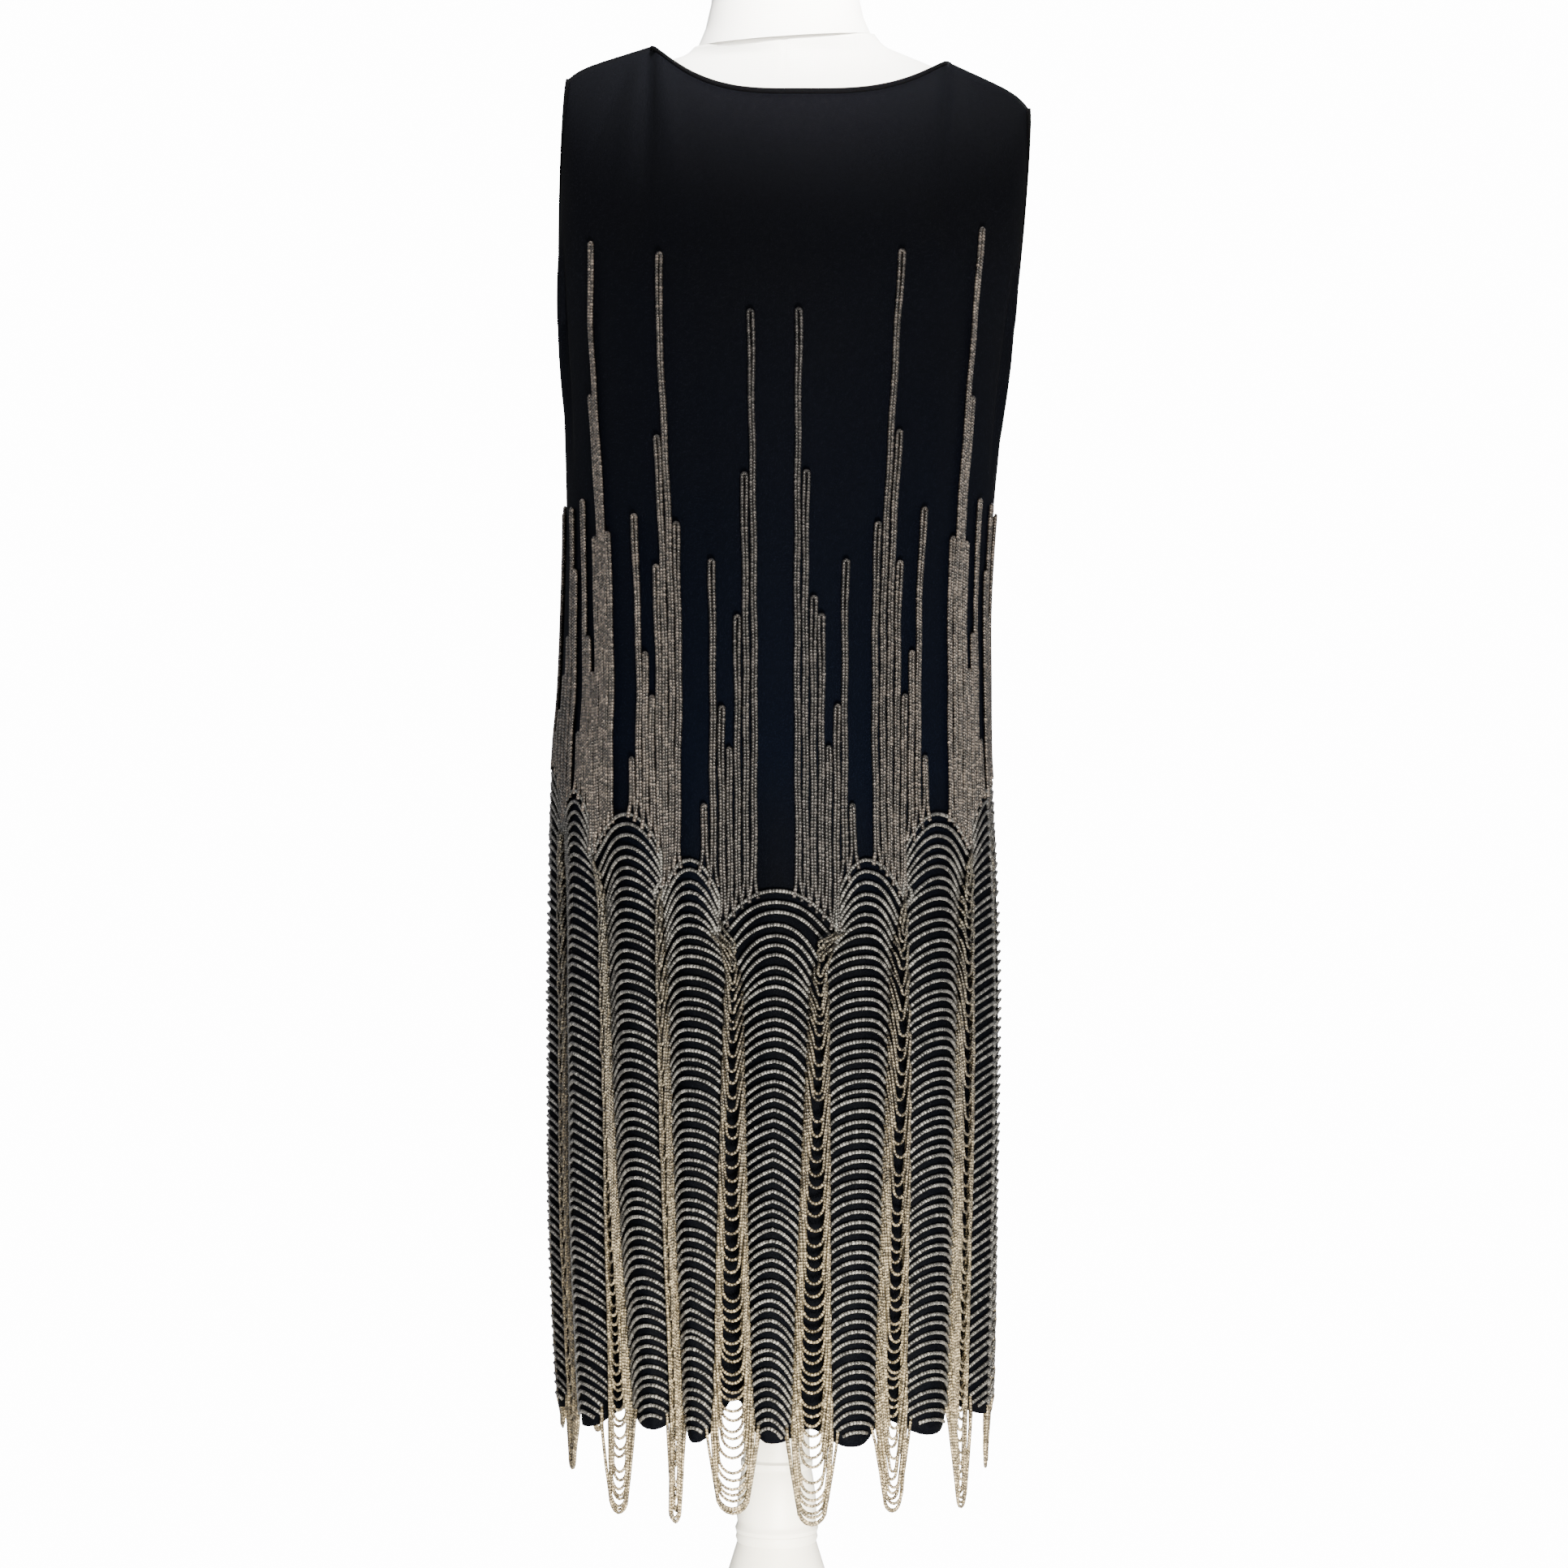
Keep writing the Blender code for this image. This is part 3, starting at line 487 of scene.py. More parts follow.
crepe = {
    "cloudScale": 9.0, "pebbleScale": 1500.0, "slubScales": (900.0, 900.0, 140.0), "slub": 0.6,
    "relief": 0.0003, "roughness": 0.72, "roughnessSpread": 0.12, "specular": 0.020,
    "tintFrom": 0.35, "tintUneven": 0.2,
}
crepeTints = [                 # how the black turns, by height above tintFrom
    (0.45, (0.35, 0.45, 0.6)), (0.58, (0.45, 0.9, 1.7)), (0.74, (0.8, 1.1, 1.6)), (0.98, (1.5, 1.5, 1.45)),
]


def makeCrepeGroup():
    group, given, leave = newGroup("crepeWeave", {"Black": "Color"}, surface)
    place = objectPlace(group)
    cloud = noise(group, place, crepe["cloudScale"], 3.0)
    pebble = noise(group, place, crepe["pebbleScale"], 2.0)
    slub = noise(group, stretched(group, place, crepe["slubScales"]), 1.0, 2.0)
    uneven = maths(group, "ADD", axes(group, place)[2], maths(group, "MULTIPLY", cloud, crepe["tintUneven"]))
    tint = ramp(group, maths(group, "SUBTRACT", uneven, crepe["tintFrom"]), crepeTints)
    grain = ramp(group, pebble, [(0.35, (0.72, 0.72, 0.72)), (0.65, (1.25, 1.25, 1.25))])
    weave = maths(group, "ADD", pebble, maths(group, "MULTIPLY", slub, crepe["slub"]))
    patchy = maths(group, "MULTIPLY", cloud, crepe["roughnessSpread"])
    black = mixColour(group, 1.0, given["Black"], tint, "MULTIPLY")
    feed(group, leave["Color"], mixColour(group, 1.0, black, grain, "MULTIPLY"))
    feed(group, leave["Roughness"], maths(group, "ADD", patchy, crepe["roughness"]))
    feed(group, leave["Normal"], bump(group, 0.35, crepe["relief"], weave))
    return group


crepeGroup = makeCrepeGroup()


def crepeMaterial(name, black):
    material, tree = newMaterial(name)
    cloth = addNode(tree, "ShaderNodeGroup", {"node_tree": crepeGroup}, Black=(*black, 1.0)).outputs
    setShader(tree, {
        "Base Color": cloth["Color"],
        "Roughness": cloth["Roughness"],
        "Normal": cloth["Normal"],
        "Specular IOR Level": crepe["specular"],
    })
    return material


blackCrepe = crepeMaterial("blackCrepe", (0.0009, 0.0010, 0.0016))
blackBinding = crepeMaterial("blackBinding", (0.0006, 0.0006, 0.0008))


def gridFaces(rows, across, closed=False):
    faces = []
    for low in range(0, (rows - 1) * across, across):
        for k in range(across if closed else across - 1):
            beside = (k + 1) % across
            faces.append([low + k, low + beside, low + across + beside, low + across + k])
    return faces


def tubeFaces(rows, across):   # a closed grid with a cap at each end
    caps = [list(range(across))[::-1], [(rows - 1) * across + k for k in range(across)]]
    return gridFaces(rows, across, closed=True) + caps


def meshPiece(name, points, faces, material, edges=()):
    mesh = bpy.data.meshes.new(name)
    mesh.from_pydata(np.asarray(points).tolist(), edges, faces)
    mesh.update()
    mesh.materials.append(material)
    mesh.shade_smooth()
    piece = bpy.data.objects.new(name, mesh)
    bpy.context.scene.collection.objects.link(piece)
    return piece


def finishPiece(piece, node):
    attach(piece, "root")
    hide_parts(node)
    return piece


def takeOnly(piece):
    bpy.ops.object.select_all(action="DESELECT")
    bpy.context.view_layer.objects.active = piece
    piece.select_set(True)


# Crepe panels: a fine shell on each panel's form, scalloped at the hem.
panel = {"linesPerFlute": 14, "rowsBelow": 112, "rowsAbove": 30, "thickness": 0.0009}


def makePanel(side):
    seam = dress["seamFlute"]
    flutes = np.linspace(-seam, seam, int(2 * seam) * panel["linesPerFlute"] + 1)
    hem, top = hemHeight(side, flutes), topEdge(side, flutes)[:, 2]
    below = np.linspace(0.0, 1.0, panel["rowsBelow"])[:, None]
    above = np.linspace(0.0, 1.0, panel["rowsAbove"] + 1)[1:, None]
    heights = np.vstack([mix(hem, dress["underarm"], below), mix(dress["underarm"], top, above)])
    points = dressPoint(side, np.broadcast_to(flutes, heights.shape), heights)
    keepToSide(side, points)
    faces = gridFaces(len(heights), len(flutes))
    if side == "back":
        faces = [ring[::-1] for ring in faces]
    piece = meshPiece(f"{side}Panel", points.reshape(-1, 3), faces, blackCrepe)
    takeOnly(piece)
    wall = piece.modifiers.new("wall", "SOLIDIFY")
    wall.thickness, wall.offset, wall.use_rim = panel["thickness"], -1.0, True
    bpy.ops.object.modifier_apply(modifier=wall.name)
    piece.select_set(False)
    return finishPiece(piece, f"{side}_panel")


panels = {side: makePanel(side) for side in turns}
print("panels made")


# Beads on strings. Each string is a path of points; its UV counts beads along it.
string = {
    "beadPitch": 0.0023,
    "startStep": 97, "startCycle": 3001,       # each string counts its beads from a number of its own
}
stringKinds = {                # radius, sides and material
    "column": (0.0014, 6, columnBeads), "row": (0.0014, 6, rowBeads), "swag": (0.00115, 5, swagBeads),
}
chance = np.random.default_rng(1926)


def stringPiece(name, node, kind, paths):
    radius, sides, material = stringKinds[kind]
    corners, faces, alongs, rounds = [], [], [], []
    place = np.arange(sides)
    angles = (2 * np.pi * place / sides)[None, :, None]
    start = 0
    for number, path in enumerate(paths):
        path = np.asarray(path, float)
        count = len(path)
        tangent = unit(np.gradient(path, axis=0))
        outward = path - np.array([dress["axisX"], 0.0, 0.0])
        outward[:, 2] = 0.0
        across = unit(np.cross(tangent, unit(outward)))
        outward = np.cross(across, tangent)
        ring = np.cos(angles) * outward[:, None, :] + np.sin(angles) * across[:, None, :]
        corners.append((path[:, None, :] + radius * ring).reshape(-1, 3))
        foot = start + np.arange(count - 1)[:, None] * sides
        low, beside = foot + place, foot + (place + 1) % sides
        faces.extend(np.stack([low, low + sides, beside + sides, beside], axis=-1).reshape(-1, 4).tolist())
        last = start + (count - 1) * sides
        faces += [list(range(start, start + sides)), list(range(last, last + sides))[::-1]]
        length = np.concatenate([[0.0], np.cumsum(np.linalg.norm(np.diff(path, axis=0), axis=1))])
        beads = length / string["beadPitch"] + (number * string["startStep"]) % string["startCycle"]
        lowBeads = np.broadcast_to(beads[:-1, None], (count - 1, sides))
        highBeads = np.broadcast_to(beads[1:, None], (count - 1, sides))
        alongs += [np.stack([lowBeads, highBeads, highBeads, lowBeads], axis=-1).reshape(-1)]
        alongs += [np.repeat([beads[0], beads[-1]], sides)]
        k = np.broadcast_to(place[None, :], (count - 1, sides)) / sides
        rounds += [np.stack([k, k, k + 1 / sides, k + 1 / sides], axis=-1).reshape(-1)]
        rounds += [np.tile(place / sides, 2)]
        start += count * sides
    piece = meshPiece(name, np.concatenate(corners), faces, material)
    uv = np.stack([np.concatenate(alongs), np.concatenate(rounds)], axis=-1)
    piece.data.uv_layers.new(name="strand").data.foreach_set("uv", uv.astype(np.float32).ravel())
    return finishPiece(piece, node)


# Upright columns: hairpins of one string each, in bundles between the crests.
Bundle = namedtuple("Bundle", "number first step tops")
bundles = {
    "right": [
        Bundle("1", 0.240, 0.091, (1.151, 1.033, 0.941, 0.928, 0.832, 0.862, 0.968, 0.790)),
        Bundle("2", 1.154, 0.100, (0.996, 1.196, 1.064, 0.968, 0.870, 0.902, 1.008, 0.825)),
        Bundle("3", 2.243, 0.0886, (0.988, 1.216, 1.093, 0.985, 0.890, 0.917, 1.018, 0.838)),
        Bundle("4", 3.170, 0.170, (0.965, 1.016, 0.930, 0.885, 0.850)),
        Bundle("side", 4.200, 0.180, (1.010, 0.935)),
    ],
    "left": [
        Bundle("1", -0.248, -0.099, (1.150, 1.031, 0.927, 0.831, 0.861, 0.968, 0.790)),
        Bundle("2", -1.189, -0.105, (0.996, 1.194, 1.060, 0.965, 0.869, 0.901, 1.003, 0.824)),
        Bundle("3", -2.300, -0.095, (0.991, 1.206, 1.094, 0.988, 0.887, 0.914, 1.017, 0.843)),
        Bundle("4", -3.170, -0.140, (0.965, 1.012, 0.915, 0.886, 0.860, 0.843)),
        Bundle("side", -4.200, -0.180, (1.010, 0.935)),
    ],
}
column = {
    "legGap": 0.0023, "tipGap": 0.0034, "tipLength": 0.070, "openOver": 0.10, "step": 0.008, "out": 0.0020,
    "overlap": 0.002, "flare": 0.0022, "flareHeight": 0.008, "sway": 0.0003, "swayPace": 90.0,
    "uneven": 0.0001, "backUneven": 0.006, "shortest": 0.012,
}


def fluteWidth(side, flute, height, near=0.05):       # metres of girth in one flute
    seam = dress["seamFlute"]
    ends = [around(panelAngle(side, np.clip(flute + d, -seam, seam), height), height) for d in (-near, near)]
    return np.linalg.norm(ends[1] - ends[0], axis=-1) / (2 * near)


def clearOfSeam(flutes):
    return np.clip(flutes, -dress["beadEdge"], dress["beadEdge"])


def hairpin(side, flute, top):
    foot = rowsTop(side, flute) - column["overlap"]
    opened = float(ease((top - foot - column["openOver"]) / column["openOver"]))
    tip = mix(column["legGap"], column["tipGap"], opened) / 2
    count = max(int((top - foot) / column["step"]), 3)
    rise = np.linspace(foot, top - tip, count)
    half = mix(column["legGap"] / 2, tip, ease(1 - (top - rise) / column["tipLength"]))
    turn = np.linspace(0.0, np.pi, 7)[1:-1]
    heights = np.concatenate([rise, top - tip + tip * np.sin(turn), rise[::-1]])
    offsets = np.concatenate([-half, -tip * np.cos(turn), half[::-1]])
    phase = chance.uniform(0, 6.3)
    sway = column["sway"] * np.sin(heights * column["swayPace"] + phase) + chance.normal(0, column["uneven"])
    spread = column["flare"] * np.exp(-((heights - foot) / column["flareHeight"]) ** 2) * np.sign(offsets)
    flutes = clearOfSeam(flute + (offsets + sway + spread) / fluteWidth(side, flute, heights))
    return dressPoint(side, flutes, heights, column["out"] + chance.normal(0, column["uneven"]))


def makeColumns(side):         # the back's bundles mirror the front's
    pieces = []
    turn = turns[side]
    for hand, other in (("right", "left"), ("left", "right")):
        for table in bundles[hand if side == "front" else other]:
            paths = []
            for index, top in enumerate(table.tops):
                flute = turn * (table.first + index * table.step)
                height = top if side == "front" else top + float(chance.normal(0, column["backUneven"]))
                if height > rowsTop(side, flute) + column["shortest"]:
                    paths.append(hairpin(side, flute, height))
            name = f"{side}Columns{hand.title()}{table.number.title()}"
            pieces.append(stringPiece(name, f"{side}_bead_columns_{hand}_{table.number}", "column", paths))
    return pieces


columns = {side: makeColumns(side) for side in turns}
print("columns made")


# Arched rows over each flute. Where a row ends at a hollow, its string goes on as a swag.
rows = {
    "pitchTop": 0.0080, "pitchLow": 0.0073, "pitchRows": 20,   # spacing at the top, and after so many rows
    "droopRows": 11, "topPower": 2.0, "peakPower": 1.25, "lean": 0.030,
    "step": 0.0045, "out": 0.0014, "fluteGirth": 0.058, "girthAt": 0.2,
    "aboveHem": 0.004, "trim": 0.0025, "slantFrom": 0.50, "slantOver": 0.14,
    "uneven": 0.0005, "dropUneven": 90, "outUneven": 0.00012,
    "bandTop": 0.040, "bandShare": 0.8, "widthHeights": (0.300, 0.375, 0.580), "hollowShare": 0.42,
    "wholeShare": 0.72,        # a row cut shorter than this by the hem lets no swag down
    "runEvery": 3, "runStep": 0.006, "runGap": 0.0020, "runLanes": 4,     # strings that run on down the V
}
RowShape = namedtuple("RowShape", "dropLeft dropRight power")
rowShapes = {                  # how each flute's rows sag
    -4: RowShape(0.013, 0.013, 2.0), -3: RowShape(0.020, 0.017, 1.6), -2: RowShape(0.018, 0.015, 1.9),
    -1: RowShape(0.013, 0.012, 2.1), 0: RowShape(0.013, 0.016, 1.8), 1: RowShape(0.011, 0.012, 2.2),
    2: RowShape(0.014, 0.011, 2.0), 3: RowShape(0.012, 0.022, 1.6), 4: RowShape(0.013, 0.013, 2.0),
}
peaks = {                      # where rows are more pointed: height and reach
    0: (0.535, 0.055), -3: (0.560, 0.060), 3: (0.520, 0.040), -1: (0.430, 0.035),
}
slants = {                     # how far rows rise to the right, low on the skirt
    -3: 0.003, -2: 0.003, -1: -0.001, 0: -0.005, 1: 0.001, 2: -0.003, 3: 0.002,
}


def hollowWidth(side, flute, height):
    hollow = hollowOf(side, flute)
    valley = valleyHeight(turns[side] * flute)
    keys = [hollow.bottom, *rows["widthHeights"], valley - rows["bandTop"], valley]
    widths = [hollow.looseWidth, hollow.looseWidth, hollow.lowWidth, hollow.midWidth,
              hollow.midWidth * rows["bandShare"], 0.0]
    return np.interp(height, keys, widths)


def halfRow(side, crest, hand, index, middle, drop, power, slant, jitter):
    turn = turns[side]
    hollowFlute = crest + hand * 0.5
    valley = valleyHeight(turn * hollowFlute)
    girth = float(fluteWidth(side, hollowFlute - hand * rows["girthAt"], middle))
    end = middle - drop
    leaning = float(ease((end - valley + rows["lean"]) / rows["lean"]))
    lean = turn * hollowOf(side, hollowFlute).shift * leaning
    width = hollowWidth(side, hollowFlute, end)
    reach = 0.5 + hand * lean - min(width / 2 / girth, rows["hollowShare"])
    share = np.linspace(0.0, 1.0, max(int(reach * rows["fluteGirth"] / rows["step"]), 4) + 1)
    path = middle + jitter - drop * share ** power + slant * hand * share
    flute = crest + hand * reach * share
    if end > valley and index % rows["runEvery"] == 0 and abs(hollowFlute) < dress["lastCrest"]:
        # this string runs on down beside its neighbours to the foot of the V
        runs = np.linspace(end, valley, max(int((end - valley) / rows["runStep"]), 1) + 1)[1:]
        aside = rows["runGap"] * (index % rows["runLanes"]) / girth
        flute = np.concatenate([flute, np.full(len(runs), flute[-1] - hand * aside)])
        path = np.concatenate([path, runs])
    return flute, path


def crestRows(side, crest):    # each row: its path, and where its two ends leave off
    turn = turns[side]
    own = int(turn * crest)
    top, hem = float(crestValue(own, "rowsTop")), float(crestValue(own, "hemHeight")) + rows["aboveHem"]
    heights = [top]
    while heights[-1] > hem:
        pitch = mix(rows["pitchTop"], rows["pitchLow"], min(len(heights) / rows["pitchRows"], 1.0))
        heights.append(heights[-1] - pitch)
    heights = top - (top - np.array(heights)) * (top - hem) / (top - heights[-1])
    shape = rowShapes[own]
    drops = {turn * -1: shape.dropLeft, turn: shape.dropRight}
    made = []
    for index, middle in enumerate(heights):
        settle = ease(index / rows["droopRows"])
        jitter = chance.normal(0, rows["uneven"], 3) if index else np.zeros(3)
        power = mix(rows["topPower"], shape.power, settle)
        if own in peaks:
            peak, reach = peaks[own]
            power = mix(power, rows["peakPower"], math.exp(-((middle - peak) / reach) ** 2))
        slant = slants.get(own, 0.0) * turn * ease((rows["slantFrom"] - middle) / rows["slantOver"])
        halves = []
        for hand in (-1, 1):
            first = min(top - valleyHeight(turn * (crest + hand * 0.5)), dress["sideDrop"])
            drop = mix(first, drops[hand], settle) * (1 + jitter[hand] * rows["dropUneven"])
            halves.append(halfRow(side, crest, hand, index, middle, drop, power, slant, jitter[0]))
        flute, height = (np.concatenate([left[::-1], right[1:]]) for left, right in zip(*halves))
        flute = clearOfSeam(flute)
        kept = height > hemHeight(side, flute) + rows["trim"]
        if kept.sum() < 4:
            continue
        whole = np.abs(flute[kept][[0, -1]] - crest) / np.abs(flute[[0, -1]] - crest) > rows["wholeShare"]
        flute, height = flute[kept], height[kept]
        path = dressPoint(side, flute, height, rows["out"] + chance.normal(0, rows["outUneven"]))
        made.append({"path": path, "flutes": flute[[0, -1]], "heights": height[[0, -1]], "whole": whole})
    return made


crestNumbers = range(-dress["lastCrest"], dress["lastCrest"] + 1)
rowSets = {(side, crest): crestRows(side, crest) for side in turns for crest in crestNumbers}
for side in turns:
    paths = [row["path"] for crest in crestNumbers for row in rowSets[side, crest]]
    stringPiece(f"{side}BeadRows", f"{side}_bead_rows", "row", paths)
print("rows made")


# Swags: nested loops of string, each let down from the ends of a row at either side of a hollow.
swag = {
    "out": 0.0028, "outBy": 4, "layer": 0.0016, "layers": 3, "sideLayer": 0.4,
    "step": 0.0065, "depth": (1.15, 0.002), "swell": 0.3,
    "band": 0.0052, "looseBand": 0.0085, "bandOver": 0.030, "looseLeast": 0.3, "least": 0.0016,
    "middleBand": 0.32, "sideBand": 0.20,      # the most of a hollow's width that its band takes
    "pile": 8, "pileStep": (0.0022, 0.0003), "taper": 0.60, "firstDrop": 0.011, "growOver": 0.24,
    "lastAbove": 0.003, "slack": 0.004, "halfUneven": 0.0005, "bottomUneven": 0.0006,
    "late": ((0, 3, 12), (1.0, 1.9, 1.15)), "lateUneven": (0.9, 1.15),
    "backLift": 0.030,         # the loops behind are a little shorter,
    "middleLift": 0.042,       # most of all the one behind the front's highest hollow
}


def loopPath(ends, middle, half, bottom, layer, late):
    girth = float(np.linalg.norm(around(middle, bottom)[:2] - np.array([dress["axisX"], 0.0])))
    spread = math.degrees(half / girth)
    depth = half * swag["depth"][0] + swag["depth"][1]
    bend = bottom + depth
    out = swag["out"] + layer * swag["layer"]
    legs = []
    for (angle, height, swell), hand in zip(ends, (-1, 1)):
        share = np.linspace(0.0, 1.0, max(int((height - bend) / swag["step"]), 2) + 1)
        legs.append((
            mix(angle, middle + hand * spread, share ** late),
            mix(height, bend, share),
            mix(swell, swell * swag["swell"], share) + mix(rows["out"], out, ease(share * swag["outBy"])),
        ))
    turn = np.linspace(0.0, np.pi, 9)[1:-1]
    left, right = legs
    bottoms = (
        middle - spread * np.cos(turn),
        bend - depth * np.sin(turn),
        mix(left[2][-1], right[2][-1], (1 - np.cos(turn)) / 2),
    )
    return around(*(np.concatenate([left[i], bottoms[i], right[i][::-1]]) for i in range(3)))


def rowEnd(side, row, end, hollowAngle):
    flute, height = float(row["flutes"][end]), float(row["heights"][end])
    angle = float(panelAngle(side, flute, height))
    while angle - hollowAngle > 180.0:
        angle -= 360.0
    while angle - hollowAngle < -180.0:
        angle += 360.0
    return angle, height, float(fluteSwell(flute, height))


def makeSwag(name, node, hollowFlute, sides, crestPair, ends):
    side = sides[0]
    hollow = hollowOf(side, hollowFlute)
    valley = valleyHeight(turns[side] * hollowFlute)
    loose = hollow.looseWidth / 2
    inMiddle = abs(hollowFlute) < 2
    bandShare = swag["middleBand"] if inMiddle else swag["sideBand"]
    lift = swag["middleLift"] if hollow is hollows[0.5] else swag["backLift"]
    lefts, rights = (
        [row for row in rowSets[own, crest][::-1] if row["whole"][end]]
        for own, crest, end in zip(sides, crestPair, ends)
    )

    def middle(height):
        return float(panelAngle(side, hollowFlute, max(height, dress["hemHeight"])))

    paths = []
    for index, pair in enumerate(zip(lefts, rights)):
        tips = sorted(rowEnd(own, row, end, middle(0.5)) for own, row, end in zip(sides, pair, ends))
        lowest = min(tips[0][1], tips[1][1])
        if lowest > valley + swag["lastAbove"]:
            break
        if index < swag["pile"]:
            share = index / swag["pile"]
            bottom = hollow.bottom + swag["pileStep"][0] * index + swag["pileStep"][1] * index ** 2
            bottom += lift * (sides[1] == "back") * (1 - share) ** 0.5
            widest = max(loose - swag["looseBand"], loose * swag["looseLeast"])
            half = mix(loose * swag["taper"], widest, share)
            full = lowest - bottom - swag["slack"]
        else:
            bottom = lowest - mix(swag["firstDrop"], full, float(ease((valley - lowest) / swag["growOver"])))
            wide = float(hollowWidth(side, hollowFlute, bottom))
            settled = float(ease((bottom - dress["hemHeight"]) / swag["bandOver"]))
            half = wide / 2 - min(mix(swag["looseBand"], swag["band"], settled), wide * bandShare)
        half = max(half + float(chance.normal(0, swag["halfUneven"])), swag["least"])
        bottom += float(chance.normal(0, swag["bottomUneven"]))
        late = float(np.interp(index, *swag["late"]) * chance.uniform(*swag["lateUneven"]))
        layer = index % swag["layers"] * (1.0 if inMiddle else swag["sideLayer"])
        paths.append(loopPath(tips, middle(bottom), half, bottom, layer, late))
    return stringPiece(name, node, "swag", paths)


for side in turns:
    for number in range(1, 9):
        flute = turns[side] * (number - dress["seamFlute"])
        pair = (math.floor(flute), math.floor(flute) + 1)
        makeSwag(f"{side}Swag{number}", f"{side}_swag_{number}", flute, (side, side), pair, (1, 0))
for hand, sign, end in (("left", -1, 0), ("right", 1, 1)):
    pair = (sign * dress["lastCrest"], sign * dress["lastCrest"])
    makeSwag(f"sideSwag{hand.title()}", f"side_swag_{hand}", sign * dress["seamFlute"],
             ("front", "back"), pair, (end, end))
print("swags made")


# Bindings: a narrow rolled strip over each raw edge.
binding = {
    "width": 0.0055, "out": 0.0010, "inside": 0.0022, "neckSteps": 61, "armholeSteps": 40,
    "below": 0.008, "beside": 0.08,            # where each strip lies down onto the cloth, metres and flutes
}
bindingSection = [             # shares of the width, of the height outside and of the depth inside
    (0.10, 1.1, 0.0), (0.45, 1.25, 0.0), (0.85, 1.1, 0.0), (1.0, 0.3, 0.0), (1.0, 0.0, 0.6),
    (0.8, 0.0, 1.0), (0.3, 0.0, 1.0), (-0.08, 0.0, 0.7), (-0.16, 0.0, 0.1), (-0.06, 0.8, 0.0),
]


def bindingPiece(name, node, edge, inner):
    inward = unit(inner - edge)
    normal = unit(np.cross(np.gradient(edge, axis=0), inward))
    facing = edge - np.array([dress["axisX"], 0.0, 0.0])
    facing[:, 2] = 0.0
    flip = np.sign(np.sum(normal * unit(facing), axis=1))
    normal *= np.where(flip == 0, 1.0, flip)[:, None]
    rings = []
    for into, out, inside in bindingSection:
        off = binding["out"] * out - binding["inside"] * inside
        rings.append(edge + inward * (binding["width"] * into) + normal * off)
    rings = np.stack(rings, axis=1)
    piece = meshPiece(name, rings.reshape(-1, 3), tubeFaces(*rings.shape[:2]), blackBinding)
    work = bmesh.new()
    work.from_mesh(piece.data)
    bmesh.ops.recalc_face_normals(work, faces=work.faces[:])
    work.to_mesh(piece.data)
    work.free()
    return finishPiece(piece, node)


for side in turns:
    flutes = np.linspace(leftShoulder.neckFlute, rightShoulder.neckFlute, binding["neckSteps"])
    edge = topEdge(side, flutes)
    strips = [(f"neckBinding{side.title()}", f"neck_binding_{side}", edge,
               dressPoint(side, flutes, edge[:, 2] - binding["below"]))]
    for hand, flute in (("left", -dress["seamFlute"]), ("right", dress["seamFlute"])):
        heights = np.linspace(dress["underarm"], float(topEdge(side, flute)[2]), binding["armholeSteps"])
        beside = flute - math.copysign(binding["beside"], flute)
        strips.append((f"armholeBinding{hand.title()}{side.title()}", f"armhole_binding_{hand}_{side}",
                       clothPoint(side, flute, heights), clothPoint(side, beside, heights)))
    [bindingPiece(*strip) for strip in strips]
print("bindings made")


# The dress form, smooth under white jersey, on a turned and painted stand.
form = {
    "x": dress["axisX"] + 0.006, "neckTilt": 0.070, "neckLean": 0.14, "tiltFrom": 1.352, "tiltOver": 0.020,
    "leanTop": 1.420, "leanOver": 0.040, "neckOval": 0.80, "around": 96,
    "groove": 0.0010, "grooveWidth": 0.012,    # the cover's front and back seams
    "rings": ((0.705, 0.760, 12), (0.760, 1.290, 60), (1.290, 1.373, 29)),
}
formRows = [                   # height, half width, reach to the front and back, roundness
    (0.7050, 0.128, 0.108, 0.108, 2.0), (0.7200, 0.142, 0.120, 0.122, 2.0),
    (0.7600, 0.148, 0.126, 0.130, 2.0), (0.8200, 0.148, 0.124, 0.130, 2.0),
    (0.8800, 0.142, 0.116, 0.121, 2.0), (0.9600, 0.128, 0.100, 0.100, 2.0),
    (1.0200, 0.126, 0.096, 0.092, 2.0), (1.0900, 0.136, 0.106, 0.094, 2.0),
    (1.1500, 0.146, 0.116, 0.098, 2.0), (1.2000, 0.151, 0.112, 0.098, 2.0),
    (1.2500, 0.153, 0.097, 0.094, 2.0), (1.2900, 0.153, 0.078, 0.076, 2.0),
    (1.3180, 0.150, 0.060, 0.057, 1.9), (1.3380, 0.140, 0.052, 0.049, 1.5),
    (1.3510, 0.118, 0.049, 0.046, 1.25), (1.3590, 0.094, 0.048, 0.045, 1.3),
    (1.3650, 0.077, 0.048, 0.046, 1.6), (1.3730, 0.069, 0.049, 0.047, 1.9),
]
# Turned profiles: radius and height, from the foot up.
neckProfile = [(0.0660, 1.3733), (0.0605, 1.3860), (0.0560, 1.4050), (0.0545, 1.4300), (0.0540, 1.4550)]
capProfile = [(0.0560, 1.4553), (0.0570, 1.4590), (0.0560, 1.4630), (0.0400, 1.4710), (0.0200, 1.4745)]
postProfile = [
    (0.0240, 0.2343), (0.0310, 0.2343), (0.0318, 0.2375), (0.0306, 0.2405), (0.0300, 0.2420),
    (0.0306, 0.2460), (0.0300, 0.2600), (0.0282, 0.2740), (0.0268, 0.2815), (0.0262, 0.2830),
    (0.0275, 0.2850), (0.0275, 0.2890), (0.0255, 0.2910), (0.0250, 0.3100), (0.0235, 0.6600),
    (0.0300, 0.6760), (0.0420, 0.6900), (0.0420, 0.7047),
]
